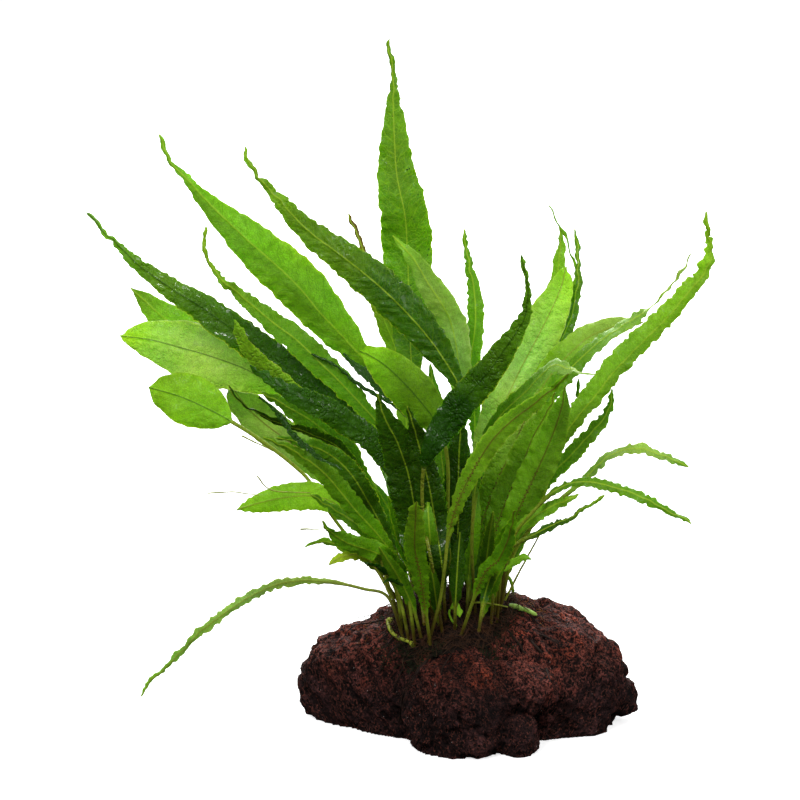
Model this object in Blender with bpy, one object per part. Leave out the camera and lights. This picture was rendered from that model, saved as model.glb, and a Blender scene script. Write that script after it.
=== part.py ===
"""Java fern on a lump of lava rock.

Lengths are in millimetres until a mesh is made, and the origin is on the ground under the stone. The leaves'
routes are given as they are seen from the front: how far across, how far up, and how deep the tip lies.
"""

import math
from collections import namedtuple

import bmesh
import bpy
import numpy as np
from mathutils import Vector, noise
from mathutils.bvhtree import BVHTree

MM = 0.001

# The front view that the routes are given in: it looks along +Y and a little down
VIEW_TILT = math.radians(13.0)
VIEW_DISTANCE = 1400.0
VIEW_CENTRE = (-23.0, 110.0)

# Stone: lobes as centre and radii, joined softly
STONE_LOBES = (
    ((3.0, 13.5, 12.7), (49.0, 29.0, 29.6)),
    ((-31.8, 20.0, 11.0), (24.6, 20.5, 22.3)),
    ((-3.2, -12.0, 11.0), (18.8, 21.8, 21.5)),
    ((29.5, 10.0, 12.0), (19.5, 20.0, 22.0)),
    ((13.0, -13.0, 19.5), (15.0, 15.0, 9.0)),
    ((14.5, -6.5, 26.5), (12.5, 7.5, 5.2)),
    ((15.2, -21.5, 4.5), (7.4, 8.8, 8.5)),
    ((51.5, 12.0, 8.0), (5.5, 8.0, 6.0)),
)
STONE_HEART = (0.0, 6.0, 11.0)
STONE_REACH = 90.0
REACH_STEPS = 240
HALVINGS = 24
LOWEST_SLOPE = math.radians(-60.0)
LOBE_POWER = 2.2
LOBE_BLEND = 0.035
STONE_COLUMNS = 88
STONE_RINGS = 22
LUMP_SIZE = 11.0
LUMP_HEIGHT = 2.6
LUMP_FALLOFF = 0.9
LUMP_GROWTH = 2.1
LUMP_LAYERS = 3
PIT_SPACING = 13.0
PIT_RADIUS = 5.0
PIT_DEPTH = 1.8
ROUGH_BELOW = 25.0
SMOOTH_FADE = 0.35

# Furrows in the stone: how wide, how deep, and their routes as seen from the front
FURROWS = (
    (1.7, 2.0, [(-9.7, 26.7), (-13, 22), (-17, 17.5), (-20.5, 12), (-22.3, 7), (-23, 2.5)]),
    (1.5, 1.7, [(2, 25), (7, 23.6), (13, 22.8), (19.5, 23.2), (25.3, 24.2)]),
)

# Root mat on top of the stone
MAT_CENTRE = (-5.7, 2.0)
MAT_RADII = (20.7, 17.6)
MAT_THICKNESS = 4.2
MAT_RIM = 1.0
MAT_GAP = 0.6
MAT_COLUMNS = 26
MAT_RINGS = 5
MAT_WAVES = ((3, 0.10, 0.7), (7, 0.05, 0.0))
MAT_RIPPLE = 0.35
MAT_RIPPLE_TURNS = (0.9, 0.8)

# Leaves
STALK_WIDTH = 1.25
BLADE_THICKNESS = 0.8
TIP_WIDTH = 0.5
BLADE_CUP = 0.12
LEAN_POWER = 1.35
STATIONS = 60
SEGMENT_LENGTH = 11.0
FEWEST_SEGMENTS = 7
MOST_SEGMENTS = 15
CURVE_SAMPLES = 24
CLEAR_OF_GROUND = 1.1
ABOVE_ALL = 200.0
SHARP_ANGLE = math.radians(50.0)

# Rods: the rhizome's tip and the curled and bent stalks
ROD_STATIONS = 11
ROD_SIDES = 6

# How the leaves keep clear of each other
SETTLE_ROUNDS = 90
SETTLE_CELL = 2.4
SETTLE_GAP = 1.5
SETTLE_REACH = 4
SETTLE_STRENGTH = 2.0

SHADES = {
    "bright": (0.250, 0.540, 0.030),
    "light": (0.160, 0.400, 0.045),
    "mid": (0.085, 0.290, 0.035),
    "dark": (0.035, 0.140, 0.022),
    "deep": (0.018, 0.080, 0.012),
}
STONE_COLOUR = (0.075, 0.022, 0.017)
MAT_COLOUR = (0.030, 0.014, 0.007)
RHIZOME_COLOUR = (0.120, 0.170, 0.030)
STALK_COLOUR = (0.180, 0.220, 0.030)
STONE_ROUGHNESS = 0.85
MAT_ROUGHNESS = 0.9
GREEN_ROUGHNESS = 0.4

# From the back to the front. root: where the stalk stands (x, y). tip_y: how deep the tip lies. start: share
# of the length at which the blade starts. peak: share of the blade at which it is widest. slim: how drawn out
# its ends are. turn: degrees that the blade is turned about its midrib, at its start and at its tip.
Leaf = namedtuple("Leaf", "name root tip_y width start peak slim turn shade route")
LEAVES = (
    Leaf("leaf_back_far_left", (-12, 16), 84, 14, 0.20, 0.45, 2.2, (20, 35), "dark",
         [(-17, 72), (-23, 88), (-29, 96)]),
    Leaf("leaf_back_far_right", (2, 16), 82, 13, 0.20, 0.45, 2.2, (-20, -35), "dark",
         [(6, 72), (12, 90), (18, 98)]),
    Leaf("leaf_back_low_left", (-18, 13), 76, 10, 0.20, 0.45, 2.2, (15, 30), "dark",
         [(-22, 60), (-29, 74), (-36, 79)]),
    Leaf("leaf_back_low_right", (7, 13), 74, 10, 0.20, 0.45, 2.2, (-15, -30), "dark",
         [(9, 58), (15, 71), (19, 75)]),
    Leaf("leaf_back_left", (-14, 14), 62, 15, 0.20, 0.45, 2.4, (10, 20), "mid",
         [(-20, 82), (-32, 102), (-44, 113)]),
    Leaf("leaf_back_right", (5, 14), 60, 14, 0.20, 0.45, 2.4, (-10, -20), "mid",
         [(11, 82), (20, 102), (28, 113)]),
    Leaf("leaf_back_tall", (-4, 14), 56, 12, 0.18, 0.45, 2.4, (0, 10), "mid",
         [(-5, 78), (-5, 98), (-5, 115)]),
    Leaf("leaf_left_behind", (-19, 12), 48, 13.4, 0.63, 0.50, 1.9, (0, 10), "light",
         [(-41, 83), (-55, 103), (-72, 118.5), (-90, 129.5), (-101.5, 137.2), (-112.8, 147.8)]),
    Leaf("leaf_brown_tip", (-13, 11), 44, 7.5, 0.30, 0.42, 2.6, (10, 20), "light",
         [(-19, 85), (-23, 121), (-28, 136), (-31, 145), (-35.5, 160), (-38.5, 168), (-40.5, 172)]),
    Leaf("leaf_left_pale", (-21, 10), 40, 13, 0.40, 0.64, 1.4, (5, 15), "light",
         [(-33, 66), (-44, 81), (-54.5, 91.7), (-62, 97.6), (-69, 102.8), (-75.3, 109.2), (-80, 116.2)]),
    Leaf("leaf_right_forked_tip", (7, 12), 38, 6, 0.30, 0.66, 3.0, (-10, 40), "light",
         [(16, 100), (24, 125), (28, 142), (29.8, 150), (30.5, 156), (30.8, 162), (30.4, 168)]),
    Leaf("leaf_right_twisted_tip", (7, 11), 34, 5, 0.30, 0.5, 3.4, (30, 80), "light",
         [(16, 102), (24, 117), (32, 137), (35, 150), (34.5, 157), (32.5, 164), (29, 170), (26.5, 175.5)]),
    Leaf("leaf_middle_crinkled", (2, 12), 34, 6.2, 0.30, 0.52, 2.4, (5, 15), "mid",
         [(2, 100), (0.5, 120), (2, 134), (2.2, 141), (1.5, 147), (0, 155), (-1.6, 162), (-1.8, 167)]),
    Leaf("leaf_tall_centre", (-8, 10), 30, 16.6, 0.26, 0.50, 3.8, (0, -8), "mid",
         [(-14, 82), (-19, 112), (-20.3, 135), (-21, 157), (-21.8, 170), (-24.4, 183), (-25.3, 194),
          (-25.8, 206), (-26.3, 218), (-27, 229.3)]),
    Leaf("leaf_middle_pale", (0, 10), 26, 10, 0.42, 0.50, 1.9, (0, 10), "light",
         [(-2, 95), (-3, 118), (-5.5, 134), (-9, 142), (-13, 148), (-18.5, 157), (-25, 165)]),
    Leaf("leaf_right_dark", (8, 10), 30, 5.6, 0.30, 0.45, 2.6, (20, 30), "dark",
         [(17, 97), (25, 116), (31, 130), (34, 137), (35.6, 145), (36.6, 152), (36.2, 159), (35.2, 167)]),
    Leaf("leaf_bright_right", (5, 9), 24, 16, 0.20, 0.52, 1.65, (0, 0), "bright",
         [(6.5, 88), (11, 106), (16, 118), (21.8, 129), (27.1, 139.3), (30.6, 147.4), (32.5, 154.5)]),
    Leaf("leaf_right_curved", (8, 8), 20, 10.5, 0.28, 0.6, 1.8, (10, 10), "bright",
         [(18, 103), (24, 113.6), (29, 120.5), (34.5, 126.4), (40, 131), (46, 133.7), (52, 135.3),
          (58, 136)]),
    Leaf("leaf_right_long_tip", (9, 6), 10, 7, 0.28, 0.42, 4.0, (20, 60), "mid",
         [(21, 100), (28, 113), (34.5, 121), (42.5, 128.5), (50, 134), (57, 138.8), (63, 143.5), (70, 152),
          (74.5, 159)]),
    Leaf("leaf_upper_left", (-4, 9), 22, 17, 0.38, 0.41, 3.5, (30, 0), "light",
         [(-5, 75), (-7, 92), (-13.3, 104), (-23.5, 114), (-34.2, 123.1), (-41.7, 130.8), (-49.3, 138.9),
          (-56.6, 147.6), (-64, 154.6), (-74.7, 164.2), (-85.5, 174.4), (-93.4, 182.7), (-99.3, 189.5),
          (-103.4, 198.6)]),
    Leaf("leaf_left_broad", (-20, 8), 28, 19.5, 0.58, 0.50, 1.45, (0, 0), "bright",
         [(-37, 74), (-50, 97), (-62, 112), (-73, 119.5), (-85, 124.2), (-96, 127.4), (-106, 130),
          (-116.5, 131.4)]),
    Leaf("leaf_left_rounded", (-22, 5), 16, 17, 0.74, 0.52, 1.35, (0, 0), "bright",
         [(-32, 55), (-42, 66.5), (-49.5, 77), (-54, 84), (-60, 89.5), (-66.5, 94.5), (-75, 100.3),
          (-85, 106), (-96, 111), (-106.8, 114.2)]),
    Leaf("leaf_left_yellow", (-23, 1), 8, 9.5, 0.46, 0.5, 1.5, (0, 0), "bright",
         [(-30.5, 58), (-37.5, 68.5), (-44, 75), (-51, 77.8), (-60, 77.7), (-69.5, 75.8), (-77.5, 73.3)]),
    Leaf("leaf_left_olive", (-19, 4), 9, 8, 0.36, 0.5, 2.0, (10, 20), "mid",
         [(-27.5, 71), (-35, 86.5), (-41, 96.5), (-50, 104.5), (-60, 110.5), (-68, 114.5)]),
    Leaf("leaf_far_left", (-15, 5), 11, 9.4, 0.34, 0.40, 2.9, (0, 0), "deep",
         [(-18, 64), (-21, 80), (-26.5, 92), (-35, 101.8), (-48, 112.6), (-62.6, 123.1), (-75, 132),
          (-82.4, 137.3), (-90.2, 143), (-97.9, 147.7), (-110.3, 156.5), (-119.3, 164.2), (-127.7, 172.5)]),
    Leaf("leaf_left_curled_tip", (-14, 3), -1, 8.8, 0.34, 0.41, 3.2, (0, 0), "light",
         [(-17.5, 62), (-20, 80), (-25, 94.5), (-31.3, 103.3), (-43, 116), (-48.8, 121.6), (-57.2, 129.8),
          (-65, 135.6), (-72.8, 142), (-79.6, 147.7), (-83.5, 151.7), (-86.4, 155.6), (-87.9, 160.8),
          (-87.6, 168)]),
    Leaf("leaf_quilted_centre", (-3, 3), -5, 12.9, 0.37, 0.37, 2.4, (5, 0), "dark",
         [(-3.5, 67), (-2, 87), (-1.5, 103), (-2.5, 114), (-7.5, 123.5), (-14, 132.5), (-21.8, 141.2),
          (-30, 149), (-38, 155.5), (-45, 160.8), (-52, 166), (-58.2, 172), (-63.8, 178.3), (-68.8, 184),
          (-72.6, 189), (-74.6, 195)]),
    Leaf("leaf_right_crinkled", (10, 4), 5, 5.3, 0.36, 0.50, 1.6, (10, 25), "mid",
         [(15, 66), (21.5, 77.5), (29.5, 87.2), (33.4, 90.9), (37.4, 95.5), (41.4, 99.8), (45, 103.8),
          (47, 108), (47.3, 113.8)]),
    Leaf("leaf_right_long", (10, 2), -2, 7.6, 0.18, 0.50, 1.8, (0, 15), "light",
         [(14, 66), (18.5, 77), (25, 89), (32, 100.2), (36.8, 106.9), (41.9, 113.5), (46.8, 120.3),
          (53, 127), (59.4, 133.5), (66, 140), (71.8, 146.7), (75.7, 151), (78.4, 154.3), (80, 158),
          (79.7, 164), (79.4, 173)]),
    Leaf("leaf_left_dark_crinkled", (-18, 1), -8, 5.5, 0.32, 0.5, 2.4, (40, 80), "deep",
         [(-25, 60), (-31, 74), (-38, 88), (-45, 95.5), (-54, 99.5), (-62, 101.8), (-73, 107), (-78, 111),
          (-80, 115)]),
    Leaf("leaf_left_glossy", (-16, 0), -18, 11.5, 0.32, 0.52, 2.2, (10, -15), "deep",
         [(-18.8, 71), (-24.2, 86), (-32.5, 97.7), (-45.5, 105), (-58.5, 111.5), (-68, 119), (-74.5, 126),
          (-77.8, 131), (-78.7, 136.5)]),
    Leaf("leaf_right_spore_dotted", (3, 4), 6, 10, 0.14, 0.5, 2.0, (-10, 0), "dark",
         [(1, 57), (4.5, 70), (10, 84), (15, 95), (19, 104), (24, 112)]),
    Leaf("leaf_right_inner", (5, 1), -4, 11, 0.14, 0.52, 1.9, (-5, 5), "mid",
         [(6, 57), (11, 73), (16.5, 85), (21, 97), (25.5, 105), (29, 112.5)]),
    Leaf("leaf_right_outer", (7, 0), -14, 11, 0.14, 0.55, 1.8, (0, 10), "mid",
         [(9, 55), (15, 70), (21.5, 84), (26.5, 95), (30.2, 105), (32.3, 114.5)]),
    Leaf("leaf_right_arch_blunt", (10, -1), -18, 3.4, 0.42, 0.6, 1.2, (40, 20), "light",
         [(15.5, 60), (26, 73), (32.5, 78.6), (39, 84.2), (44.5, 89), (50.7, 92.2), (58, 92.5),
          (66.5, 89.7), (73.3, 86.9)]),
    Leaf("leaf_right_short_low", (8, -3), -22, 4.6, 0.36, 0.55, 1.9, (10, 20), "light",
         [(11, 56), (15.5, 65.5), (21, 70.5), (27, 74), (32, 76.3), (36.8, 78.5)]),
    Leaf("leaf_right_arch", (9, -5), -30, 4.2, 0.36, 0.55, 2.0, (30, 20), "mid",
         [(11, 54), (15.5, 65.6), (21.5, 72.3), (27, 77.5), (33, 80.8), (40, 81.6), (48, 79.9), (56, 77.3),
          (64, 73.3), (74.2, 68)]),
    Leaf("leaf_right_torn", (7, -6), -36, 3, 0.36, 0.6, 2.0, (20, 50), "dark",
         [(9.5, 56), (15, 61.5), (21.5, 65), (28.5, 68.3), (34, 71), (40, 74.5), (45, 78.3)]),
    Leaf("leaf_left_blade_upper", (-18, -2), -20, 7.5, 0.22, 0.5, 2.3, (20, 10), "dark",
         [(-22.5, 54), (-27.5, 65), (-33.5, 76), (-39, 85), (-46, 91.5), (-54.5, 95.5), (-64.5, 97.5)]),
    Leaf("leaf_left_small_sharp", (-20, 0), -4, 4.8, 0.30, 0.5, 2.0, (10, 10), "mid",
         [(-23, 50), (-28.5, 59), (-36, 67.5), (-45.5, 74), (-53, 78.5)]),
    Leaf("leaf_left_blade_lower", (-19, -5), -30, 7, 0.20, 0.5, 2.4, (15, 10), "mid",
         [(-22.5, 52), (-26.5, 60), (-32, 67), (-37.5, 73), (-42, 78.5), (-48.5, 86), (-57, 92),
          (-68.5, 98)]),
    Leaf("leaf_left_arch_thin", (-22, -5), -16, 2.6, 0.46, 0.6, 1.6, (20, 40), "light",
         [(-25, 48), (-34, 56), (-41.5, 60.7), (-48, 63.2), (-55, 61)]),
    Leaf("leaf_left_droop", (-22, -5), -26, 3.3, 0.22, 0.45, 1.5, (15, 30), "light",
         [(-27, 44.3), (-35, 47), (-45.5, 49.3), (-56, 49.8), (-64.5, 48.3), (-74.5, 43.6), (-83.9, 37.3),
          (-91.3, 31), (-98.4, 23.7), (-105.3, 17.3), (-109.8, 11.4)]),
    Leaf("leaf_left_small_yellow", (-20, -7), -28, 3.8, 0.48, 0.5, 1.5, (0, 10), "bright",
         [(-24, 47), (-30, 53.6), (-36, 58.2), (-42, 57.8), (-47, 55.2)]),
    Leaf("leaf_left_folded", (-18, -9), -34, 7.5, 0.28, 0.5, 1.8, (30, 30), "mid",
         [(-21, 48), (-26.5, 56), (-33, 60), (-40.5, 62.5), (-46, 66), (-49, 70)]),
    Leaf("leaf_dark_middle", (-4, -3), -14, 10, 0.12, 0.5, 2.0, (-10, 10), "deep",
         [(-4, 58), (-3.5, 72), (-3.5, 86), (-3, 98), (-2.5, 107)]),
    Leaf("leaf_short_olive", (-6, -3), -24, 14.4, 0.57, 0.5, 1.4, (0, 0), "light",
         [(-7, 70), (-7.2, 90), (-10.5, 101.5), (-16.2, 109.5), (-22.5, 116.5), (-29, 122.3), (-36.5, 126.7)]),
    Leaf("leaf_dark_broad", (-12, -5), -32, 15, 0.12, 0.48, 1.8, (5, 10), "deep",
         [(-15.5, 54), (-17.5, 70), (-20, 84), (-23.5, 95), (-28, 104), (-30.5, 112)]),
    Leaf("leaf_dark_inner", (-8, -6), -34, 12, 0.12, 0.5, 1.8, (-10, 0), "deep",
         [(-9, 54), (-11, 68), (-13.5, 82), (-17, 96), (-20.5, 108)]),
    Leaf("leaf_dark_front", (-9, -9), -54, 11, 0.39, 0.34, 2.2, (0, 10), "deep",
         [(-12, 53), (-15.3, 72), (-15, 88), (-11, 97.3), (-6.3, 104.6), (-2.6, 110), (1.9, 115.5),
          (6.4, 121), (10, 126.3), (14.6, 133), (17.5, 138), (18.8, 143.5), (18.7, 150), (17.3, 158.3)]),
    Leaf("leaf_hooked_tip", (2, -4), -38, 6, 0.22, 0.62, 2.6, (20, 40), "mid",
         [(1, 60), (2, 78), (5, 94), (10, 104), (19, 113), (25, 119), (29, 121.5), (35.5, 119.5),
          (43, 118.5)]),
    Leaf("leaf_front_long", (-14, -12), -50, 6.6, 0.30, 0.52, 2.0, (10, 0), "light",
         [(-11, 38), (-9.5, 44), (-8, 55), (-7, 64), (-5, 72), (-1.5, 81), (4, 91), (9, 98),
          (14.8, 103.5), (21.5, 108.5), (27.5, 113.5), (33.5, 118.5)]),
    Leaf("leaf_front_dotted", (-3, -11), -44, 5.6, 0.25, 0.5, 1.9, (0, 10), "mid",
         [(4.5, 51), (10, 57), (13.5, 65), (15.5, 73.5)]),
    Leaf("leaf_front_lance", (-13, -12), -44, 6.8, 0.18, 0.6, 1.3, (0, 0), "mid",
         [(-16, 50), (-18, 60), (-18, 67), (-17.5, 76)]),
)

# Growths that lie on the stone, as seen from the front. lift: clear height over what they lie on
Creeper = namedtuple("Creeper", "name colour widths lift route")
CREEPERS = (
    Creeper("rhizome_tip", RHIZOME_COLOUR, (2.2, 1.5), 0.4,
            [(18.5, 40.5), (20, 40), (22.5, 38.7), (24.5, 37)]),
    Creeper("fiddlehead", STALK_COLOUR, (0.9, 1.3), 0.9,
            [(-16.8, 23.8), (-17.8, 26), (-20.4, 27.4), (-23.6, 27.9), (-26, 29.3), (-26.8, 31.5)]),
)

# Small growths that stand up. root: x, y. route: how far to the right and how far up from there
Sprout = namedtuple("Sprout", "name colour widths root route")
SPROUTS = (
    Sprout("bent_stalk", STALK_COLOUR, (0.9, 0.7), (12, 11),
           [(0, 0.9), (0, 3.5), (0.6, 5.4), (1.9, 5.5), (2.8, 3.8), (3.1, 1.8)]),
    Sprout("young_curled_leaf", STALK_COLOUR, (0.8, 1.6), (-4, -12.5),
           [(0, 0.9), (-1.2, 2), (-2, 3.6), (-1.5, 5), (0, 5.2)]),
)


def unit(vectors):
    """Vectors of length 1."""
    return vectors / np.linalg.norm(vectors, axis=-1, keepdims=True)


# The front view's own directions and the point that it is seen from
SIGHT = np.array([0.0, math.cos(VIEW_TILT), -math.sin(VIEW_TILT)])
ACROSS = np.array([1.0, 0.0, 0.0])
UP = np.array([0.0, math.sin(VIEW_TILT), math.cos(VIEW_TILT)])
EYE = ACROSS * VIEW_CENTRE[0] + UP * VIEW_CENTRE[1] - SIGHT * VIEW_DISTANCE


def at_depth(seen, depth):
    """The points that are seen at these places (across, up) and lie at these depths y."""
    rays = seen[:, :1] * ACROSS + seen[:, 1:] * UP - EYE
    return EYE + rays * ((depth - EYE[1]) / rays[:, 1])[:, None]


def as_seen(points):
    """Where points are seen from the front (across, up)."""
    rays = points - EYE
    on_plane = EYE + rays * (VIEW_DISTANCE / (rays @ SIGHT))[..., None]
    return np.stack([on_plane @ ACROSS, on_plane @ UP], axis=-1)


def smooth_route(points, count):
    """count points evenly spaced on a smooth curve through the given points."""
    points = np.asarray(points, float)
    padded = np.vstack([2 * points[0] - points[1], points, 2 * points[-1] - points[-2]])
    curve = []
    for before, start, end, after in zip(padded, padded[1:], padded[2:], padded[3:]):
        t = np.linspace(0, 1, CURVE_SAMPLES, endpoint=False)[:, None]
        curve.append(0.5 * (2 * start + (end - before) * t + (2 * before - 5 * start + 4 * end - after) * t**2
                            + (3 * start - before - 3 * end + after) * t**3))
    curve = np.vstack(curve + [points[-1:]])
    walked = np.concatenate([[0], np.cumsum(np.linalg.norm(np.diff(curve, axis=0), axis=1))])
    wanted = np.linspace(0, walked[-1], count)
    return np.stack([np.interp(wanted, walked, column) for column in curve.T], axis=1)


def stone_field(points):
    """Below 0 inside the stone's lobes, above 0 outside."""
    nearness = 0.0
    for centre, radii in STONE_LOBES:
        scaled = np.abs((points - np.array(centre)) / np.array(radii))
        inside = (scaled**LOBE_POWER).sum(axis=-1) ** (1 / LOBE_POWER) - 1
        nearness = nearness + np.exp(-inside / LOBE_BLEND)
    return -LOBE_BLEND * np.log(nearness)


def stone_radius(directions):
    """How far the lobes reach from the stone's heart in each direction."""
    steps = np.linspace(STONE_REACH, 0, REACH_STEPS)
    points = np.array(STONE_HEART) + directions[:, None, :] * steps[None, :, None]
    inside = stone_field(points) < 0
    first = inside.argmax(axis=1)
    outer, inner = steps[first - 1], steps[first]
    for _ in range(HALVINGS):
        middle = (outer + inner) / 2
        within = stone_field(np.array(STONE_HEART) + directions * middle[:, None]) < 0
        inner = np.where(within, middle, inner)
        outer = np.where(within, outer, middle)
    return inner


def beside(seen, route):
    """How far a place is from a route, both as seen from the front."""
    starts, ends = np.array(route[:-1], float), np.array(route[1:], float)
    run = ends - starts
    share = np.clip(((seen - starts) * run).sum(axis=1) / (run**2).sum(axis=1), 0, 1)
    return np.linalg.norm(starts + run * share[:, None] - seen, axis=1).min()


def furrowed(point):
    """How deep the furrows are there, on the side of the stone that is seen from the front."""
    if point[1] > STONE_HEART[1]:
        return 0.0
    seen = as_seen(np.array([point]))[0]
    deep = sum(depth * math.exp(-((beside(seen, route) / width) ** 2)) for width, depth, route in FURROWS)
    return deep * past_mat(point)


def past_mat(point):
    """0 under the root mat, rising to 1 a little past its rim."""
    aside = [(point[axis] - MAT_CENTRE[axis]) / MAT_RADII[axis] for axis in (0, 1)]
    return min(1.0, max(0.0, (math.hypot(*aside) - 1.0) / SMOOTH_FADE - 0.2))


def roughness(point):
    """How far lumps raise the stone's surface there, and pits and furrows lower it."""
    place = Vector(point)
    lumps = LUMP_HEIGHT * noise.fractal(place / LUMP_SIZE, LUMP_FALLOFF, LUMP_GROWTH, LUMP_LAYERS)
    nearest = noise.voronoi(place / PIT_SPACING)[0][0] * PIT_SPACING
    pit = PIT_DEPTH * max(0.0, 1 - (nearest / PIT_RADIUS) ** 2)
    bare = 1.0 if point[2] < ROUGH_BELOW else past_mat(point)
    return (lumps - pit) * bare - furrowed(point)


def ring_face(rings, columns, bottom_first):
    """Quads between successive rings of points, whose indices run ring by ring."""
    for ring in range(rings - 1):
        for column in range(columns):
            after = (column + 1) % columns
            near, far = ring * columns, (ring + 1) * columns
            quad = (near + column, near + after, far + after, far + column)
            yield quad if bottom_first else quad[::-1]


def stone_mesh():
    """Points and faces of the stone: rings from its top down to a flat underside on the ground."""
    heart = np.array(STONE_HEART)
    around = np.linspace(0, 2 * math.pi, STONE_COLUMNS, endpoint=False)
    flat = np.stack([np.cos(around), np.sin(around), np.zeros_like(around)], axis=1)

    def pointing(slope):
        return flat * np.cos(slope)[:, None] + np.array([0, 0, 1.0]) * np.sin(slope)[:, None]

    low, high = np.full(STONE_COLUMNS, LOWEST_SLOPE), np.zeros(STONE_COLUMNS)
    for _ in range(HALVINGS):
        middle = (low + high) / 2
        below = heart[2] + stone_radius(pointing(middle)) * np.sin(middle) < 0
        low, high = np.where(below, middle, low), np.where(below, high, middle)
    points = [heart + np.array([0, 0, 1.0]) * stone_radius(np.array([[0, 0, 1.0]]))[0]]
    for ring in range(1, STONE_RINGS + 1):
        slope = math.pi / 2 + (high - math.pi / 2) * ring / STONE_RINGS
        directions = pointing(slope)
        radius = stone_radius(directions)
        for direction, reach in zip(directions, radius):
            point = heart + direction * reach
            point = point + direction * roughness(point)
            if ring == STONE_RINGS:
                point[2] = 0.0
            points.append(np.array([point[0], point[1], max(point[2], 0.0)]))
    faces = [(0, 1 + column, 1 + (column + 1) % STONE_COLUMNS) for column in range(STONE_COLUMNS)]
    faces += [tuple(1 + corner for corner in quad) for quad in ring_face(STONE_RINGS, STONE_COLUMNS, False)]
    last = 1 + (STONE_RINGS - 1) * STONE_COLUMNS
    faces.append(tuple(range(last, last + STONE_COLUMNS))[::-1])
    return points, faces


def height_over(tree, x, y):
    """Height of the highest surface at x, y, or 0 beside it."""
    hit = tree.ray_cast(Vector((x, y, ABOVE_ALL)), Vector((0, 0, -1)))[0]
    return hit.z if hit else 0.0


def mat_mesh(stone_tree):
    """Points and faces of the root mat, a low mound that follows the stone under it."""
    under, over = [], []
    for ring in range(MAT_RINGS + 1):
        share = ring / MAT_RINGS
        for column in range(MAT_COLUMNS if ring else 1):
            turn = 2 * math.pi * column / MAT_COLUMNS
            ragged = 1 + share * sum(size * math.sin(times * turn + late) for times, size, late in MAT_WAVES)
            x = MAT_CENTRE[0] + MAT_RADII[0] * share * ragged * math.cos(turn)
            y = MAT_CENTRE[1] + MAT_RADII[1] * share * ragged * math.sin(turn)
            ground = height_over(stone_tree, x, y) + MAT_GAP
            ripple = MAT_RIPPLE * math.sin(x * MAT_RIPPLE_TURNS[0]) * math.sin(y * MAT_RIPPLE_TURNS[1])
            thick = MAT_RIM + (MAT_THICKNESS - MAT_RIM) * (1 - share**2) + ripple
            under.append((x, y, ground))
            over.append((x, y, ground + thick))
    shift = len(under)
    faces = []
    for column in range(MAT_COLUMNS):
        after = (column + 1) % MAT_COLUMNS
        faces.append((0, 1 + after, 1 + column))
        faces.append((shift, shift + 1 + column, shift + 1 + after))
    for quad in ring_face(MAT_RINGS, MAT_COLUMNS, False):
        faces.append(tuple(1 + corner for corner in quad)[::-1])
        faces.append(tuple(1 + shift + corner for corner in quad))
    rim = 1 + (MAT_RINGS - 1) * MAT_COLUMNS
    for column in range(MAT_COLUMNS):
        after = (column + 1) % MAT_COLUMNS
        faces.append((rim + column, rim + after, rim + shift + after, rim + shift + column))
    return under + over, faces


def half_widths(leaf, share):
    """Half of the leaf's width at shares of its length: a stalk, then a blade drawn out at both ends."""
    along = np.clip((share - leaf.start) / (1 - leaf.start), 0, 1)
    rise = (along / leaf.peak) ** (leaf.slim * leaf.peak)
    fall = ((1 - along) / (1 - leaf.peak)) ** (leaf.slim * (1 - leaf.peak))
    narrowest = STALK_WIDTH + (TIP_WIDTH - STALK_WIDTH) * np.clip(share, 0, 1) ** 2
    return np.maximum(leaf.width * rise * fall, narrowest) / 2


def directions_along(path, turn):
    """Unit vectors along a path, across the blade and off its face, with the blade turned about the path."""
    along = unit(np.gradient(path, axis=0))
    across = unit(np.cross(along, SIGHT))
    off = np.cross(across, along)
    cosine, sine = np.cos(turn)[:, None], np.sin(turn)[:, None]
    return along, across * cosine + off * sine, off * cosine - across * sine


class Spine:
    """A leaf's route: where it is seen, how deep it lies, how wide it is and how far it is turned."""

    def __init__(self, leaf, ground):
        base = np.array([[leaf.root[0], leaf.root[1], height_over(ground, *leaf.root)]])
        self.leaf = leaf
        self.seen = smooth_route(np.vstack([as_seen(base), leaf.route]), STATIONS)
        self.share = np.linspace(0, 1, STATIONS)
        self.depth = leaf.root[1] + (leaf.tip_y - leaf.root[1]) * self.share**LEAN_POWER
        self.half = half_widths(leaf, self.share)
        self.turn = np.radians(np.interp(self.share, [leaf.start, 1], leaf.turn))

    def path(self):
        return at_depth(self.seen, self.depth)

    def spots(self):
        """Close places on the blade, to find what passes in front of it: across, up, depth and station."""
        path = self.path()
        across = directions_along(path, self.turn)[1]
        rows = max(1, math.ceil(self.half.max() / SETTLE_CELL))
        found = []
        for row in range(-rows, rows + 1):
            place = path + across * (self.half * row / rows)[:, None]
            found.append(np.column_stack([as_seen(place), place[:, 1], np.arange(STATIONS)]))
        return np.vstack(found)


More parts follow.
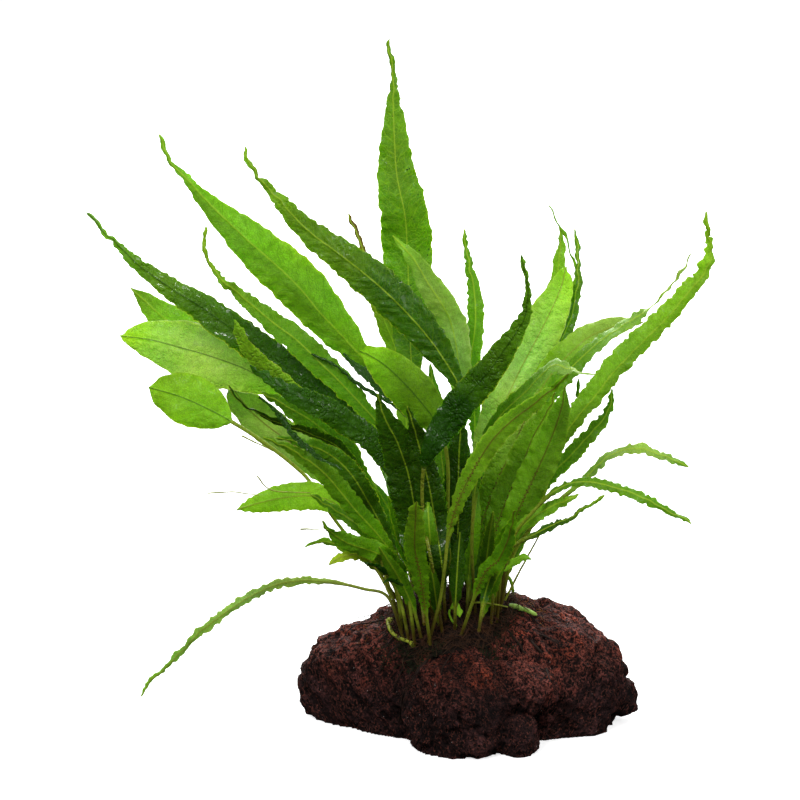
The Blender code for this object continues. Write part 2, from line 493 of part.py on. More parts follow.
def settle(spines):
    """Move blades apart in depth wherever one passes in front of another, keeping their order."""
    window = np.hanning(2 * SETTLE_REACH + 3)[1:-1]
    window *= SETTLE_STRENGTH / window.sum()
    for turn in range(SETTLE_ROUNDS):
        shift = (turn % 2) * SETTLE_CELL / 2
        cells = {}
        for index, spine in enumerate(spines):
            for across, up, depth, station in spine.spots().tolist():
                cell = (math.floor((across + shift) / SETTLE_CELL), math.floor((up + shift) / SETTLE_CELL))
                nearest = cells.setdefault(cell, {}).setdefault(index, [depth, depth, int(station)])
                nearest[0] = min(nearest[0], depth)
                nearest[1] = max(nearest[1], depth)
        pushes = np.zeros((2, len(spines), STATIONS))
        for present in cells.values():
            ordered = sorted(present.items())
            for (behind, far), (before, near) in zip(ordered, ordered[1:]):
                overlap = SETTLE_GAP - (far[0] - near[1])
                if overlap > 0:
                    pushes[0, behind, far[2]] = max(pushes[0, behind, far[2]], overlap / 2)
                    pushes[1, before, near[2]] = max(pushes[1, before, near[2]], overlap / 2)
        for index, spine in enumerate(spines):
            push = pushes[0, index] - pushes[1, index]
            spine.depth = spine.depth + np.convolve(push, window, mode="same")


def clear_of(ground, path):
    """Index of the first station from which the path stays clear of the ground."""
    heights = np.array([point[2] - height_over(ground, point[0], point[1]) for point in path])
    low = np.nonzero(heights[: STATIONS // 2] < CLEAR_OF_GROUND)[0]
    return int(low[-1]) + 1 if len(low) else 0


def leaf_mesh(spine, ground):
    """Points and faces of one leaf: a four-sided stalk that opens into a thin blade."""
    path = spine.path()
    first = clear_of(ground, path)
    length = np.linalg.norm(np.diff(path, axis=0), axis=1).sum()
    segments = int(min(MOST_SEGMENTS, max(FEWEST_SEGMENTS, round(length / SEGMENT_LENGTH))))
    picked = np.unique(np.round(np.linspace(first, STATIONS - 1, segments + 1)).astype(int))
    _, across, off = directions_along(path, spine.turn)
    points, rings = [], len(picked)
    for station in picked:
        half = spine.half[station]
        blade = min(1.0, max(0.0, (2 * half - STALK_WIDTH) / STALK_WIDTH))
        thick = STALK_WIDTH + (BLADE_THICKNESS - STALK_WIDTH) * blade
        thick = min(thick, 2 * half) / 2
        middle = path[station]
        raised = middle + off[station] * half * BLADE_CUP * blade
        points += [raised - across[station] * half, middle + off[station] * thick,
                   raised + across[station] * half, middle - off[station] * thick]
    faces = list(ring_face(rings, 4, True))
    faces += [(3, 2, 1, 0), tuple(4 * (rings - 1) + corner for corner in range(4))]
    return points, faces


def rod_mesh(path, widths, sides=ROD_SIDES):
    """Points and faces of a round rod along a path, whose width changes evenly."""
    along = unit(np.gradient(path, axis=0))
    across = unit(np.cross(along, SIGHT))
    off = np.cross(across, along)
    radii = np.linspace(widths[0], widths[1], len(path)) / 2
    points = []
    for middle, side, face, radius in zip(path, across, off, radii):
        for corner in range(sides):
            turn = 2 * math.pi * corner / sides
            points.append(middle + radius * (side * math.cos(turn) + face * math.sin(turn)))
    faces = list(ring_face(len(path), sides, True))
    last = sides * (len(path) - 1)
    faces += [tuple(range(sides))[::-1], tuple(range(last, last + sides))]
    return points, faces


def laid_on(ground, seen, lift):
    """Points that are seen at these places, on the surface that is seen there and lifted off it."""
    points = []
    for across, up in seen:
        ray = unit(across * ACROSS + up * UP - EYE)
        hit, normal, _, _ = ground.ray_cast(Vector(EYE), Vector(ray))
        points.append(np.array(hit) + np.array(normal) * lift)
    return np.array(points)


def material(name, colour, roughness_value):
    """A plain surface of one colour."""
    made = bpy.data.materials.new(name)
    made.use_nodes = True
    shader = made.node_tree.nodes["Principled BSDF"]
    shader.inputs["Base Color"].default_value = (*colour, 1.0)
    shader.inputs["Roughness"].default_value = roughness_value
    shader.inputs["Metallic"].default_value = 0.0
    return made


def build(name, points, faces, colour, roughness_value):
    """One closed object from points in millimetres."""
    mesh = bpy.data.meshes.new(name)
    mesh.from_pydata([tuple(float(value) * MM for value in point) for point in points], [], faces)
    shape = bmesh.new()
    shape.from_mesh(mesh)
    bmesh.ops.triangulate(shape, faces=shape.faces[:])
    bmesh.ops.recalc_face_normals(shape, faces=shape.faces[:])
    shape.to_mesh(mesh)
    shape.free()
    mesh.shade_smooth()
    mesh.set_sharp_from_angle(angle=SHARP_ANGLE)
    mesh.materials.append(material(name, colour, roughness_value))
    made = bpy.data.objects.new(name, mesh)
    bpy.context.scene.collection.objects.link(made)
    return made


def surface_tree(*meshes):
    """A tree that finds where rays meet several meshes."""
    points, faces = [], []
    for some_points, some_faces in meshes:
        faces += [tuple(corner + len(points) for corner in face) for face in some_faces]
        points += [Vector(point) for point in some_points]
    return BVHTree.FromPolygons(points, faces)


def clear_scene():
    for old in list(bpy.data.objects):
        bpy.data.objects.remove(old, do_unlink=True)


def main():
    clear_scene()
    stone = stone_mesh()
    build("stone", *stone, STONE_COLOUR, STONE_ROUGHNESS)
    mat = mat_mesh(surface_tree(stone))
    build("root_mat", *mat, MAT_COLOUR, MAT_ROUGHNESS)
    ground = surface_tree(stone, mat)

    spines = [Spine(leaf, ground) for leaf in LEAVES]
    settle(spines)
    for spine in spines:
        build(spine.leaf.name, *leaf_mesh(spine, ground), SHADES[spine.leaf.shade], GREEN_ROUGHNESS)

    for creeper in CREEPERS:
        lift = creeper.lift + max(creeper.widths) / 2
        route = smooth_route(laid_on(ground, creeper.route, lift), ROD_STATIONS)
        build(creeper.name, *rod_mesh(route, creeper.widths), creeper.colour, GREEN_ROUGHNESS)
    for sprout in SPROUTS:
        x, y = sprout.root
        foot = np.array([x, y, height_over(ground, x, y)])
        route = smooth_route(foot + np.array([(right, 0.0, up) for right, up in sprout.route]), ROD_STATIONS)
        build(sprout.name, *rod_mesh(route, sprout.widths), sprout.colour, GREEN_ROUGHNESS)


main()
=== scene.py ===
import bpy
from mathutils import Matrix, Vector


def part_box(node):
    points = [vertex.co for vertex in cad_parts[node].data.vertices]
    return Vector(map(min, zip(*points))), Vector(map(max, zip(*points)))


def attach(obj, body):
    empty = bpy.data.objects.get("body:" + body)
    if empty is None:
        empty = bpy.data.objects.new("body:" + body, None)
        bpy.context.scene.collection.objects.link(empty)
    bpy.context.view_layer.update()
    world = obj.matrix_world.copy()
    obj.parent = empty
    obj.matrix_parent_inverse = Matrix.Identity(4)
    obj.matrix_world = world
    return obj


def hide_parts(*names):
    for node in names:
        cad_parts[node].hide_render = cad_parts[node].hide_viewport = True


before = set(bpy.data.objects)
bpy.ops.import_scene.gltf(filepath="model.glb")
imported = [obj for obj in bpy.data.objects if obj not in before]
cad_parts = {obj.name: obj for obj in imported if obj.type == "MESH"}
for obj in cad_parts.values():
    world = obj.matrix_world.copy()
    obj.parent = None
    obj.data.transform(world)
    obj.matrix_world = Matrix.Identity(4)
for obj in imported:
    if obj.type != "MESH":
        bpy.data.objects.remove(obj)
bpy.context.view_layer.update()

import functools
import itertools
import math
from collections import namedtuple

import bpy
import numpy as np
from bpy.props import FloatProperty, FloatVectorProperty, IntProperty, PointerProperty
from mathutils import Vector, noise
from mathutils.bvhtree import BVHTree

bl_info = {
    "name": "Java fern on stone",
    "version": (1, 0, 0),
    "blender": (4, 5, 0),
    "location": "3D View > Sidebar > Java fern",
    "description": "Grows a java fern with quilted, wavy leaves on a lump of porous lava rock",
    "category": "Add Mesh",
}

MM = 0.001

# The front view that the routes are given in: it looks along +Y and a little down
VIEW_TILT = math.radians(13.0)
VIEW_DISTANCE = 1400.0
VIEW_CENTRE = (-23.0, 110.0)
VIEW_HALF_WIDTH = 133.333

# Lengths are in millimetres where nothing else is said

# Stone: lobes as centre and radii, joined softly
STONE_LOBES = (
    ((3.0, 13.5, 12.7), (49.0, 29.0, 29.6)),
    ((-31.6, 20.0, 10.6), (24.4, 20.5, 21.0)),
    ((-3.2, -12.0, 11.0), (18.8, 21.8, 21.5)),
    ((30.5, 10.0, 12.0), (20.0, 20.5, 22.6)),
    ((13.0, -13.0, 19.5), (15.0, 15.0, 9.0)),
    ((14.5, -6.5, 26.5), (12.5, 7.5, 5.2)),
    ((15.2, -21.5, 4.5), (7.4, 8.8, 8.5)),
    ((51.5, 12.0, 8.0), (5.5, 8.0, 6.0)),
)
STONE_HEART = (0.0, 6.0, 11.0)
STONE_REACH = 90.0
REACH_STEPS = 70
HALVINGS = 18
LOBE_POWER = 2.2
LOBE_BLEND = 0.035
LUMP_SIZE = 11.0
LUMP_HEIGHT = 2.6
LUMP_FALLOFF = 0.9
LUMP_GROWTH = 2.1
LUMP_LAYERS = 3
PIT_SPACING = 13.0
PIT_RADIUS = 5.0
PIT_DEPTH = 1.8
ROUGH_BELOW = 25.0
SMOOTH_FADE = 0.35
STREAM_RADIUS = 35.0
STREAM_STRETCH = 0.8
STREAM_TOP = 45.0
GRAIN_SIZE = 0.9
GRAIN_HEIGHT = 0.3
KNOB_SIZE = 4.5
KNOB_HEIGHT = 0.62
SMALL_KNOB_SIZE = 2.1
SMALL_KNOB_SHARE = 0.7
FOOT_FADE = 1.5
ROCK_LEEWAY = 0.3

# Pores of the rock, large to small: spacing, share of the full depth, how rare they are, and whether gas drew them
# out downhill. Their radius is a share of their spacing
PORES = ((4.0, 1.0, 0.55, True), (2.2, 0.9, 0.25, True), (1.5, 0.6, 0.25, False))
PORE_RADIUS = 0.16
PORE_VARIETY = 0.30
PORE_ROUNDNESS = 0.6

# Lines in the rock as seen from the front: width, depth and route
GROOVES = (
    (1.2, 1.3, [(-9.7, 26.7), (-13, 22), (-17, 17.5), (-20.5, 12), (-22.3, 7), (-23, 2.5)]),
    (0.8, 1.6, [(2, 25), (7, 23.6), (13, 22.8), (19.5, 23.2), (25.3, 24.2)]),
    (0.6, 1.2, [(18, 29), (17.6, 26), (18.2, 23.3)]),
    (0.6, 0.9, [(-46, 22), (-40, 15), (-37, 8)]),
    (0.6, 0.9, [(38, 24), (44, 17), (47, 9)]),
    (0.6, 1.0, [(-31, 28), (-34, 24), (-33, 19)]),
    (0.6, 0.8, [(24, 19), (27, 13), (24, 7)]),
)

# Root mat on top of the stone, and the mound that is made from it
MAT_CENTRE = (-5.7, 2.0)
MAT_RADII = (20.7, 17.6)
MOUND_REACH = 40.0
MOUND_HALVINGS = 14
MOUND_SHARE = 0.985
MOUND_LUMP = 0.55
MOUND_LUMP_SIZE = 2.6
MOUND_LIFT = 0.15
MOUND_SUNK = 0.35

# Fibres: their sides, and how thick they still are at their ends
FIBRE_SIDES = 3
THIN_TIP = 0.15
BLUNT_TIP = 0.7

# Leaves
STALK_WIDTH = 1.1
TIP_WIDTH = 1.6
BLADE_CUP = 0.12
LEAN_POWER = 1.35
STATIONS = 60
CURVE_SAMPLES = 24
CLEAR_OF_GROUND = 1.1
ABOVE_ALL = 200.0
INNER_LEEWAY = 6.0
THREAD_WIDTH = 1.2

STALK_SUNK = 3.2
STALK_STRIDE = 3.0
TRIAL_ROWS = 600
MIDRIB_CROWDING = 1.15
TIP_ROUNDING = 2.5

# A blade's relief: least and most distance between side veins and between lobes of the margin, how far the veins
# sweep forward, and the half width from which there is room for its full height
VEIN_SPACING = (2.2, 4.2)
VEIN_SWEEP = 0.72
LOBE_SPACING = (2.0, 4.8)
NICK_SPACING = 0.8
BLISTER_RADIUS = 0.8
MIDRIB_WIDTH = 0.34
ROOMY = 5.0

# How the narrow end swings, bobs and twists: share of the leaf's crinkle, and length of a wave
CRIMPS = ((1.0, 2.6), (1.0, 3.1), (1.1, 5.0))

# Spore cases: distance along the midrib and beside it
SPORE_SPACING = 1.7
SPORE_ASIDE = 0.5

# Flat maps: margin of each side of the rock as a share of it; and in blade widths, the room for one side of a blade,
# the middle of its back, and the width of a strip with both sides
MAP_MARGIN = 0.02
MAP_ROOM = 1.25
BACK_MIDDLE = 1.52
STRIP_WIDTH = 2.08

# How the leaves keep clear of each other
SETTLE_ROUNDS = 90
SETTLE_CELL = 2.4
SETTLE_GAP = 1.5
SETTLE_REACH = 4
SETTLE_STRENGTH = 2.0


# From the back to the front; the names lack the word leaf. root: where the stalk stands (x, y). tip_y: how deep the
# tip lies. start: share of the length at which the blade starts. peak: share of the blade at which it is widest.
# slim: how drawn out its ends are. turn: degrees that the blade is turned about its midrib, at its start and tip.
Leaf = namedtuple("Leaf", "name root tip_y width start peak slim turn shade route")
LEAVES = tuple(Leaf("leaf_" + name, *rest) for name, *rest in (
    ("back_far_left", (-12, 16), 84, 14, 0.20, 0.45, 2.2, (20, 35), "dark",
     [(-17, 72), (-23, 88), (-29, 96)]),
    ("back_far_right", (2, 16), 82, 13, 0.20, 0.45, 2.2, (-20, -35), "dark",
     [(6, 72), (12, 90), (18, 98)]),
    ("back_low_left", (-18, 13), 76, 10, 0.20, 0.45, 2.2, (15, 30), "dark",
     [(-22, 60), (-29, 74), (-36, 79)]),
    ("back_low_right", (7, 13), 74, 10, 0.20, 0.45, 2.2, (-15, -30), "dark",
     [(9, 58), (15, 71), (19, 75)]),
    ("back_left", (-14, 14), 62, 15, 0.20, 0.45, 2.4, (10, 20), "mid",
     [(-20, 82), (-32, 102), (-44, 113)]),
    ("back_right", (5, 14), 60, 14, 0.20, 0.45, 2.4, (-10, -20), "mid",
     [(11, 82), (20, 102), (28, 113)]),
    ("back_tall", (-4, 14), 56, 12, 0.18, 0.45, 2.4, (0, 10), "mid",
     [(-5, 78), (-5, 98), (-5, 115)]),
    ("left_behind", (-19, 12), 48, 13.4, 0.63, 0.50, 1.9, (0, 10), "light",
     [(-41, 83), (-55, 103), (-72, 118.5), (-90, 129.5), (-101.5, 137.2), (-112.8, 147.8)]),
    ("brown_tip", (-13, 11), 44, 7.5, 0.30, 0.42, 2.6, (10, 20), "light",
     [(-19, 85), (-23, 121), (-28, 136), (-31, 145), (-35.5, 160), (-38.5, 168), (-40.5, 172)]),
    ("left_pale", (-21, 10), 40, 13, 0.40, 0.64, 1.4, (5, 15), "light",
     [(-33, 66), (-44, 81), (-54.5, 91.7), (-62, 97.6), (-69, 102.8), (-75.3, 109.2), (-80, 116.2)]),
    ("right_forked_tip", (7, 12), 38, 6.6, 0.30, 0.66, 2.4, (-10, 40), "light",
     [(16, 100), (24, 125), (27.6, 142), (29.2, 150), (29.9, 156), (30.3, 162), (30.2, 168)]),
    ("right_twisted_tip", (7, 11), 34, 5, 0.30, 0.5, 3.4, (30, 80), "light",
     [(16, 102), (24, 117), (32, 137), (35, 150), (34.5, 157), (32.5, 164), (29, 170), (26.5, 175.5)]),
    ("middle_crinkled", (2, 12), 34, 6.2, 0.30, 0.52, 2.4, (5, 15), "mid",
     [(2, 100), (0.5, 120), (2, 134), (2.2, 141), (1.5, 147), (0, 155), (-1.6, 162), (-1.8, 167)]),
    ("tall_centre", (-8, 10), 30, 16.6, 0.26, 0.50, 3.8, (0, -8), "mid",
     [(-13.6, 82.7), (-18.5, 113), (-19.8, 136), (-20.5, 158), (-21.3, 171), (-23.9, 184), (-24.8, 195), (-25.3, 207),
      (-25.8, 219), (-26.5, 230.3)]),
    ("middle_pale", (0, 10), 26, 10, 0.42, 0.50, 1.9, (0, 10), "light",
     [(-2, 95), (-3, 118), (-5.5, 134), (-9, 142), (-13, 148), (-18.5, 157), (-25, 165)]),
    ("right_dark", (8, 10), 30, 5.6, 0.30, 0.45, 2.6, (20, 30), "dark",
     [(17, 97), (25, 116), (31, 130), (34, 137), (35.6, 145), (36.6, 152), (36.2, 159), (35.2, 167)]),
    ("bright_right", (5, 9), 24, 15.4, 0.20, 0.58, 1.45, (0, 0), "bright",
     [(6.5, 88), (11, 106), (16, 118), (21.8, 129), (27.1, 139.3), (30.6, 147.4), (32.5, 154.5)]),
    ("right_curved", (8, 8), 20, 10.5, 0.28, 0.6, 1.8, (10, 10), "bright",
     [(18, 103), (24, 113.6), (29, 120.5), (34.5, 126.4), (40, 131), (46, 133.7), (52, 135.3), (58, 136)]),
    ("right_long_tip", (9, 6), 10, 7, 0.28, 0.42, 4.0, (20, 60), "mid",
     [(21, 100), (28, 113), (34.5, 121), (42.5, 128.5), (50, 134), (57, 138.8), (63, 143.5), (70, 152), (74.5, 159)]),
    ("upper_left", (-4, 9), 22, 17, 0.38, 0.41, 3.5, (30, 0), "light",
     [(-5, 75), (-7, 92), (-13.3, 104), (-23.5, 114), (-34.2, 123.1), (-41.7, 130.8), (-49.3, 138.9), (-56.6, 147.6),
      (-64, 154.6), (-74.7, 164.2), (-85.5, 174.4), (-93.4, 182.7), (-99.3, 189.5), (-103.4, 198.6)]),
    ("left_broad", (-20, 8), 28, 19.5, 0.58, 0.50, 1.45, (0, 0), "bright",
     [(-37, 74), (-50, 97), (-62, 112), (-73, 119.5), (-85, 124.2), (-96, 127.4), (-106, 130), (-116.5, 131.4)]),
    ("left_rounded", (-22, 5), 16, 17, 0.74, 0.52, 1.35, (0, 0), "bright",
     [(-32, 55), (-42, 66.5), (-49.5, 77), (-54, 84), (-60, 89.5), (-66.5, 94.5), (-75, 100.3), (-85, 106), (-96, 111),
      (-106.8, 114.2)]),
    ("left_yellow", (-23, 1), 8, 9.5, 0.46, 0.5, 1.5, (0, 0), "bright",
     [(-30.5, 58), (-37.5, 68.5), (-44, 75), (-51, 77.8), (-60, 77.7), (-69.5, 75.8), (-77.5, 73.3)]),
    ("left_olive", (-19, 4), 9, 9.6, 0.36, 0.5, 2.0, (10, 20), "mid",
     [(-28.2, 70.3), (-36.8, 84.9), (-43, 94.7), (-52, 102.7), (-62, 108.7), (-70, 112.7)]),
    ("far_left", (-15, 5), 11, 10.6, 0.34, 0.42, 2.7, (0, 0), "deep",
     [(-18, 64), (-21, 80), (-26.5, 92), (-35, 101.8), (-48, 112.4), (-62.8, 122.6), (-75.4, 131.2), (-82.9, 136.4),
      (-90.8, 142), (-98.5, 146.6), (-110.8, 155.6), (-119.5, 164), (-127.7, 172.5)]),
    ("left_curled_tip", (-14, 3), -1, 8.8, 0.34, 0.41, 3.2, (0, 0), "light",
     [(-17.5, 62), (-20, 80), (-25, 94.5), (-31.3, 103.3), (-43, 116), (-48.8, 121.6), (-57.2, 129.8), (-65, 135.6),
      (-72.8, 142), (-79.6, 147.7), (-83.5, 151.7), (-86.4, 155.6), (-87.9, 160.8), (-87.6, 168)]),
    ("quilted_centre", (-3, 3), -5, 12.9, 0.37, 0.37, 2.4, (5, 0), "dark",
     [(-3.6, 66.9), (-2.5, 86.5), (-2, 102.5), (-3, 113.5), (-8, 123), (-14.5, 132), (-22.3, 140.7), (-30.5, 148.5),
      (-38.5, 155), (-45.5, 160.3), (-52.5, 165.5), (-58.7, 171.5), (-64.3, 177.8), (-69.3, 183.5), (-73.1, 188.5),
      (-75.1, 194.5)]),
    ("right_crinkled", (10, 4), 5, 5.3, 0.36, 0.50, 1.6, (10, 25), "mid",
     [(15, 66), (21.5, 77.5), (29.5, 87.2), (33.4, 90.9), (37.4, 95.5), (41.4, 99.8), (45, 103.8), (47, 108),
      (47.3, 113.8)]),
    ("right_long", (10, 2), -2, 7.6, 0.18, 0.50, 1.8, (0, 15), "light",
     [(14, 66), (18.5, 77), (25, 89), (32, 100.2), (37, 106.7), (42.3, 113.1), (47.3, 119.8), (53.6, 126.4),
      (60.1, 132.8), (66.7, 139.3), (72.4, 146.1), (76.3, 150.6), (78.8, 154.1), (80.2, 158), (79.9, 164),
      (79.5, 173)]),
    ("left_dark_crinkled", (-18, 1), -8, 5.5, 0.32, 0.5, 2.4, (40, 80), "deep",
     [(-25, 60), (-31, 74), (-38, 88), (-45, 95.5), (-54, 99.5), (-62, 101.8), (-73, 107), (-78, 111), (-80, 115)]),
    ("left_glossy", (-16, 0), -18, 8.4, 0.32, 0.50, 2.0, (10, -15), "deep",
     [(-18.8, 69), (-24.2, 84), (-32.5, 96.5), (-39.5, 101.5), (-47.5, 106.8), (-54.2, 110), (-60.5, 113.2),
      (-66.5, 117), (-73.2, 121.6)]),
    ("right_spore_dotted", (3, 4), 6, 10, 0.14, 0.5, 2.0, (-10, 0), "dark",
     [(1, 57), (4.5, 70), (10, 84), (15, 95), (19, 104), (24, 112)]),
    ("right_inner", (5, 1), -4, 11, 0.14, 0.52, 1.9, (-5, 5), "mid",
     [(6, 57), (11, 73), (16.5, 85), (21, 97), (25.5, 105), (29, 112.5)]),
    ("right_outer", (7, 0), -14, 11, 0.14, 0.55, 1.8, (0, 10), "mid",
     [(9, 55), (15, 70), (21.5, 84), (26.5, 95), (30.2, 105), (32.3, 114.5)]),
    ("right_arch_blunt", (10, -1), -18, 3.4, 0.42, 0.6, 1.2, (40, 20), "light",
     [(15.5, 60), (26, 73), (32.5, 78.6), (39, 84.2), (44.5, 89.6), (50.7, 93), (58, 93.4), (66.5, 90.7),
      (73.3, 87.8)]),
    ("right_short_low", (8, -3), -22, 4.6, 0.36, 0.55, 1.9, (10, 20), "light",
     [(11, 56), (15.5, 65.5), (21, 70.5), (27, 74), (32, 76.3), (36.8, 78.5)]),
    ("right_arch", (9, -5), -30, 3.7, 0.36, 0.55, 2.0, (30, 20), "mid",
     [(11, 54), (15.5, 65.6), (21.5, 72.9), (27, 78.4), (33, 81.8), (40, 82.7), (48, 81), (56, 78.4), (64, 74.3),
      (74.2, 68.6)]),
    ("right_torn", (7, -6), -36, 3, 0.36, 0.6, 2.0, (20, 50), "dark",
     [(9.5, 56), (15, 61.5), (21.5, 65), (28.5, 68.3), (34, 71), (40, 74.5), (45, 78.3)]),
    ("left_blade_upper", (-18, -2), -20, 7.5, 0.22, 0.5, 2.3, (20, 10), "dark",
     [(-22.5, 54), (-27.5, 65), (-33.5, 76), (-39, 85), (-46, 91.5), (-54.5, 95.5), (-64.5, 97.5)]),
    ("left_small_sharp", (-20, 0), -4, 4.8, 0.30, 0.5, 2.0, (10, 10), "mid",
     [(-23, 50), (-28.5, 59), (-36, 67.5), (-45.5, 74), (-53, 78.5)]),
    ("left_blade_lower", (-19, -5), -30, 7, 0.20, 0.5, 2.4, (15, 10), "mid",
     [(-22.5, 52), (-26.5, 60), (-32, 67), (-37.5, 73), (-42, 78.5), (-48.5, 86), (-57, 92), (-68.5, 98)]),
    ("left_arch_thin", (-22, -5), -16, 2.6, 0.46, 0.6, 1.6, (20, 40), "light",
     [(-25, 48), (-34, 56), (-41.5, 60.7), (-48, 63.2), (-55, 61)]),
    ("left_droop", (-22, -5), -26, 3.3, 0.22, 0.45, 1.5, (15, 30), "light",
     [(-27, 44.3), (-35, 47), (-45.5, 49.3), (-56, 49.8), (-64.5, 48.3), (-74.5, 43.6), (-83.9, 37.3), (-91.3, 31),
      (-98.4, 23.7), (-105.3, 17.3), (-109.8, 11.4)]),
    ("left_small_yellow", (-20, -7), -28, 3.8, 0.48, 0.5, 1.5, (0, 10), "bright",
     [(-24, 47), (-30, 53.6), (-36, 58.2), (-42, 57.8), (-47, 55.2)]),
    ("left_folded", (-18, -9), -34, 7.5, 0.28, 0.5, 1.8, (30, 30), "mid",
     [(-21, 48), (-26.5, 56), (-33, 60), (-40.5, 62.5), (-46, 66), (-49, 70)]),
    ("dark_middle", (-4, -3), -14, 10, 0.12, 0.5, 2.0, (-10, 10), "deep",
     [(-4, 58), (-3.5, 72), (-3.5, 86), (-3, 98), (-2.5, 107)]),
    ("short_olive", (-6, -3), -24, 14.4, 0.57, 0.5, 1.4, (0, 0), "light",
     [(-7, 70), (-7.2, 90), (-10.5, 101.5), (-16.2, 109.5), (-22.5, 116.5), (-29, 122.3), (-36.5, 126.7)]),
    ("dark_broad", (-12, -5), -32, 15, 0.12, 0.48, 1.8, (5, 10), "deep",
     [(-15.5, 54), (-17.5, 70), (-20, 84), (-23.5, 95), (-28, 104), (-30.5, 112)]),
    ("dark_inner", (-8, -6), -34, 9.5, 0.12, 0.5, 1.8, (-10, 0), "deep",
     [(-9, 54), (-11, 68), (-13.5, 82), (-17, 96), (-20.5, 108)]),
    ("dark_front", (-9, -9), -54, 10.4, 0.39, 0.34, 2.6, (0, 10), "deep",
     [(-12, 53), (-15.3, 72), (-15, 88), (-10.8, 97.2), (-5.9, 104.4), (-1.9, 109.8), (2.9, 115.2), (7.5, 120.6),
      (11.2, 125.9), (15.8, 132.6), (18.6, 138), (19.6, 143.5), (19.2, 150), (17.3, 158.3)]),
    ("hooked_tip", (2, -4), -38, 6, 0.22, 0.62, 2.6, (20, 40), "mid",
     [(1, 60), (2, 78), (5, 94), (10, 104), (19, 113), (25, 119), (29, 121.5), (35.5, 119.5), (43, 118.5)]),
    ("front_long", (-14, -12), -50, 6.6, 0.30, 0.52, 2.0, (10, 0), "light",
     [(-11, 38), (-9.5, 44), (-8, 55), (-7, 64), (-5, 72), (-1.5, 81), (4, 91), (9, 98), (14.8, 103.5), (21.5, 108.5),
      (27.5, 113.5), (33.5, 118.5)]),
    ("front_dotted", (-3, -11), -44, 5.6, 0.25, 0.5, 1.9, (0, 10), "mid",
     [(4.5, 51), (10, 57), (13.5, 65), (15.5, 73.5)]),
    ("front_lance", (-13, -12), -44, 6.8, 0.18, 0.6, 1.3, (0, 0), "mid",
     [(-16, 50), (-18, 60), (-18, 67), (-17.5, 76)]),
))


# How a leaf looks. colours: at its lower end, middle and tip; a darker lower end is partly painted shade inside the
# clump. sides: how bright its left and right halves are, painted light and shade on a half that faces towards or away
# from the light.
# quilt: how high it swells between its side veins, in mm. vein: how much lighter the side veins are. rib: colour
# of its midrib. specks: share of dark flecks. crinkle: how far its tip and margins crimp, in mm. shift: how far
# the midrib lies right of the middle, as a share of the half width. wet: how wrinkled its gloss is. spores: whether
# spore cases line the midrib.
Look = namedtuple("Look", "colours sides quilt vein rib specks crinkle shift wet spores")
LOOK_OF_SHADE = {
    shade: Look((shade, shade, tip), (1, 1), quilt, vein, rib, specks, crinkle, 0, wet, False)
    for shade, tip, quilt, vein, rib, specks, crinkle, wet in (
        ("bright", "bright", 0.30, 0.25, "stalk", 0.1, 0.25, 0.15),
        ("light", "light", 0.35, 0.35, "rib", 0.2, 0.40, 0.1),
        ("mid", "mid", 0.40, 0.40, "rib", 0.3, 0.45, 0.2),
        ("dark", "mid", 0.50, 0.40, "rib", 0.3, 0.45, 0.45),
        ("deep", "deep", 0.50, 0.30, "rib", 0.3, 0.45, 0.7),
    )
}
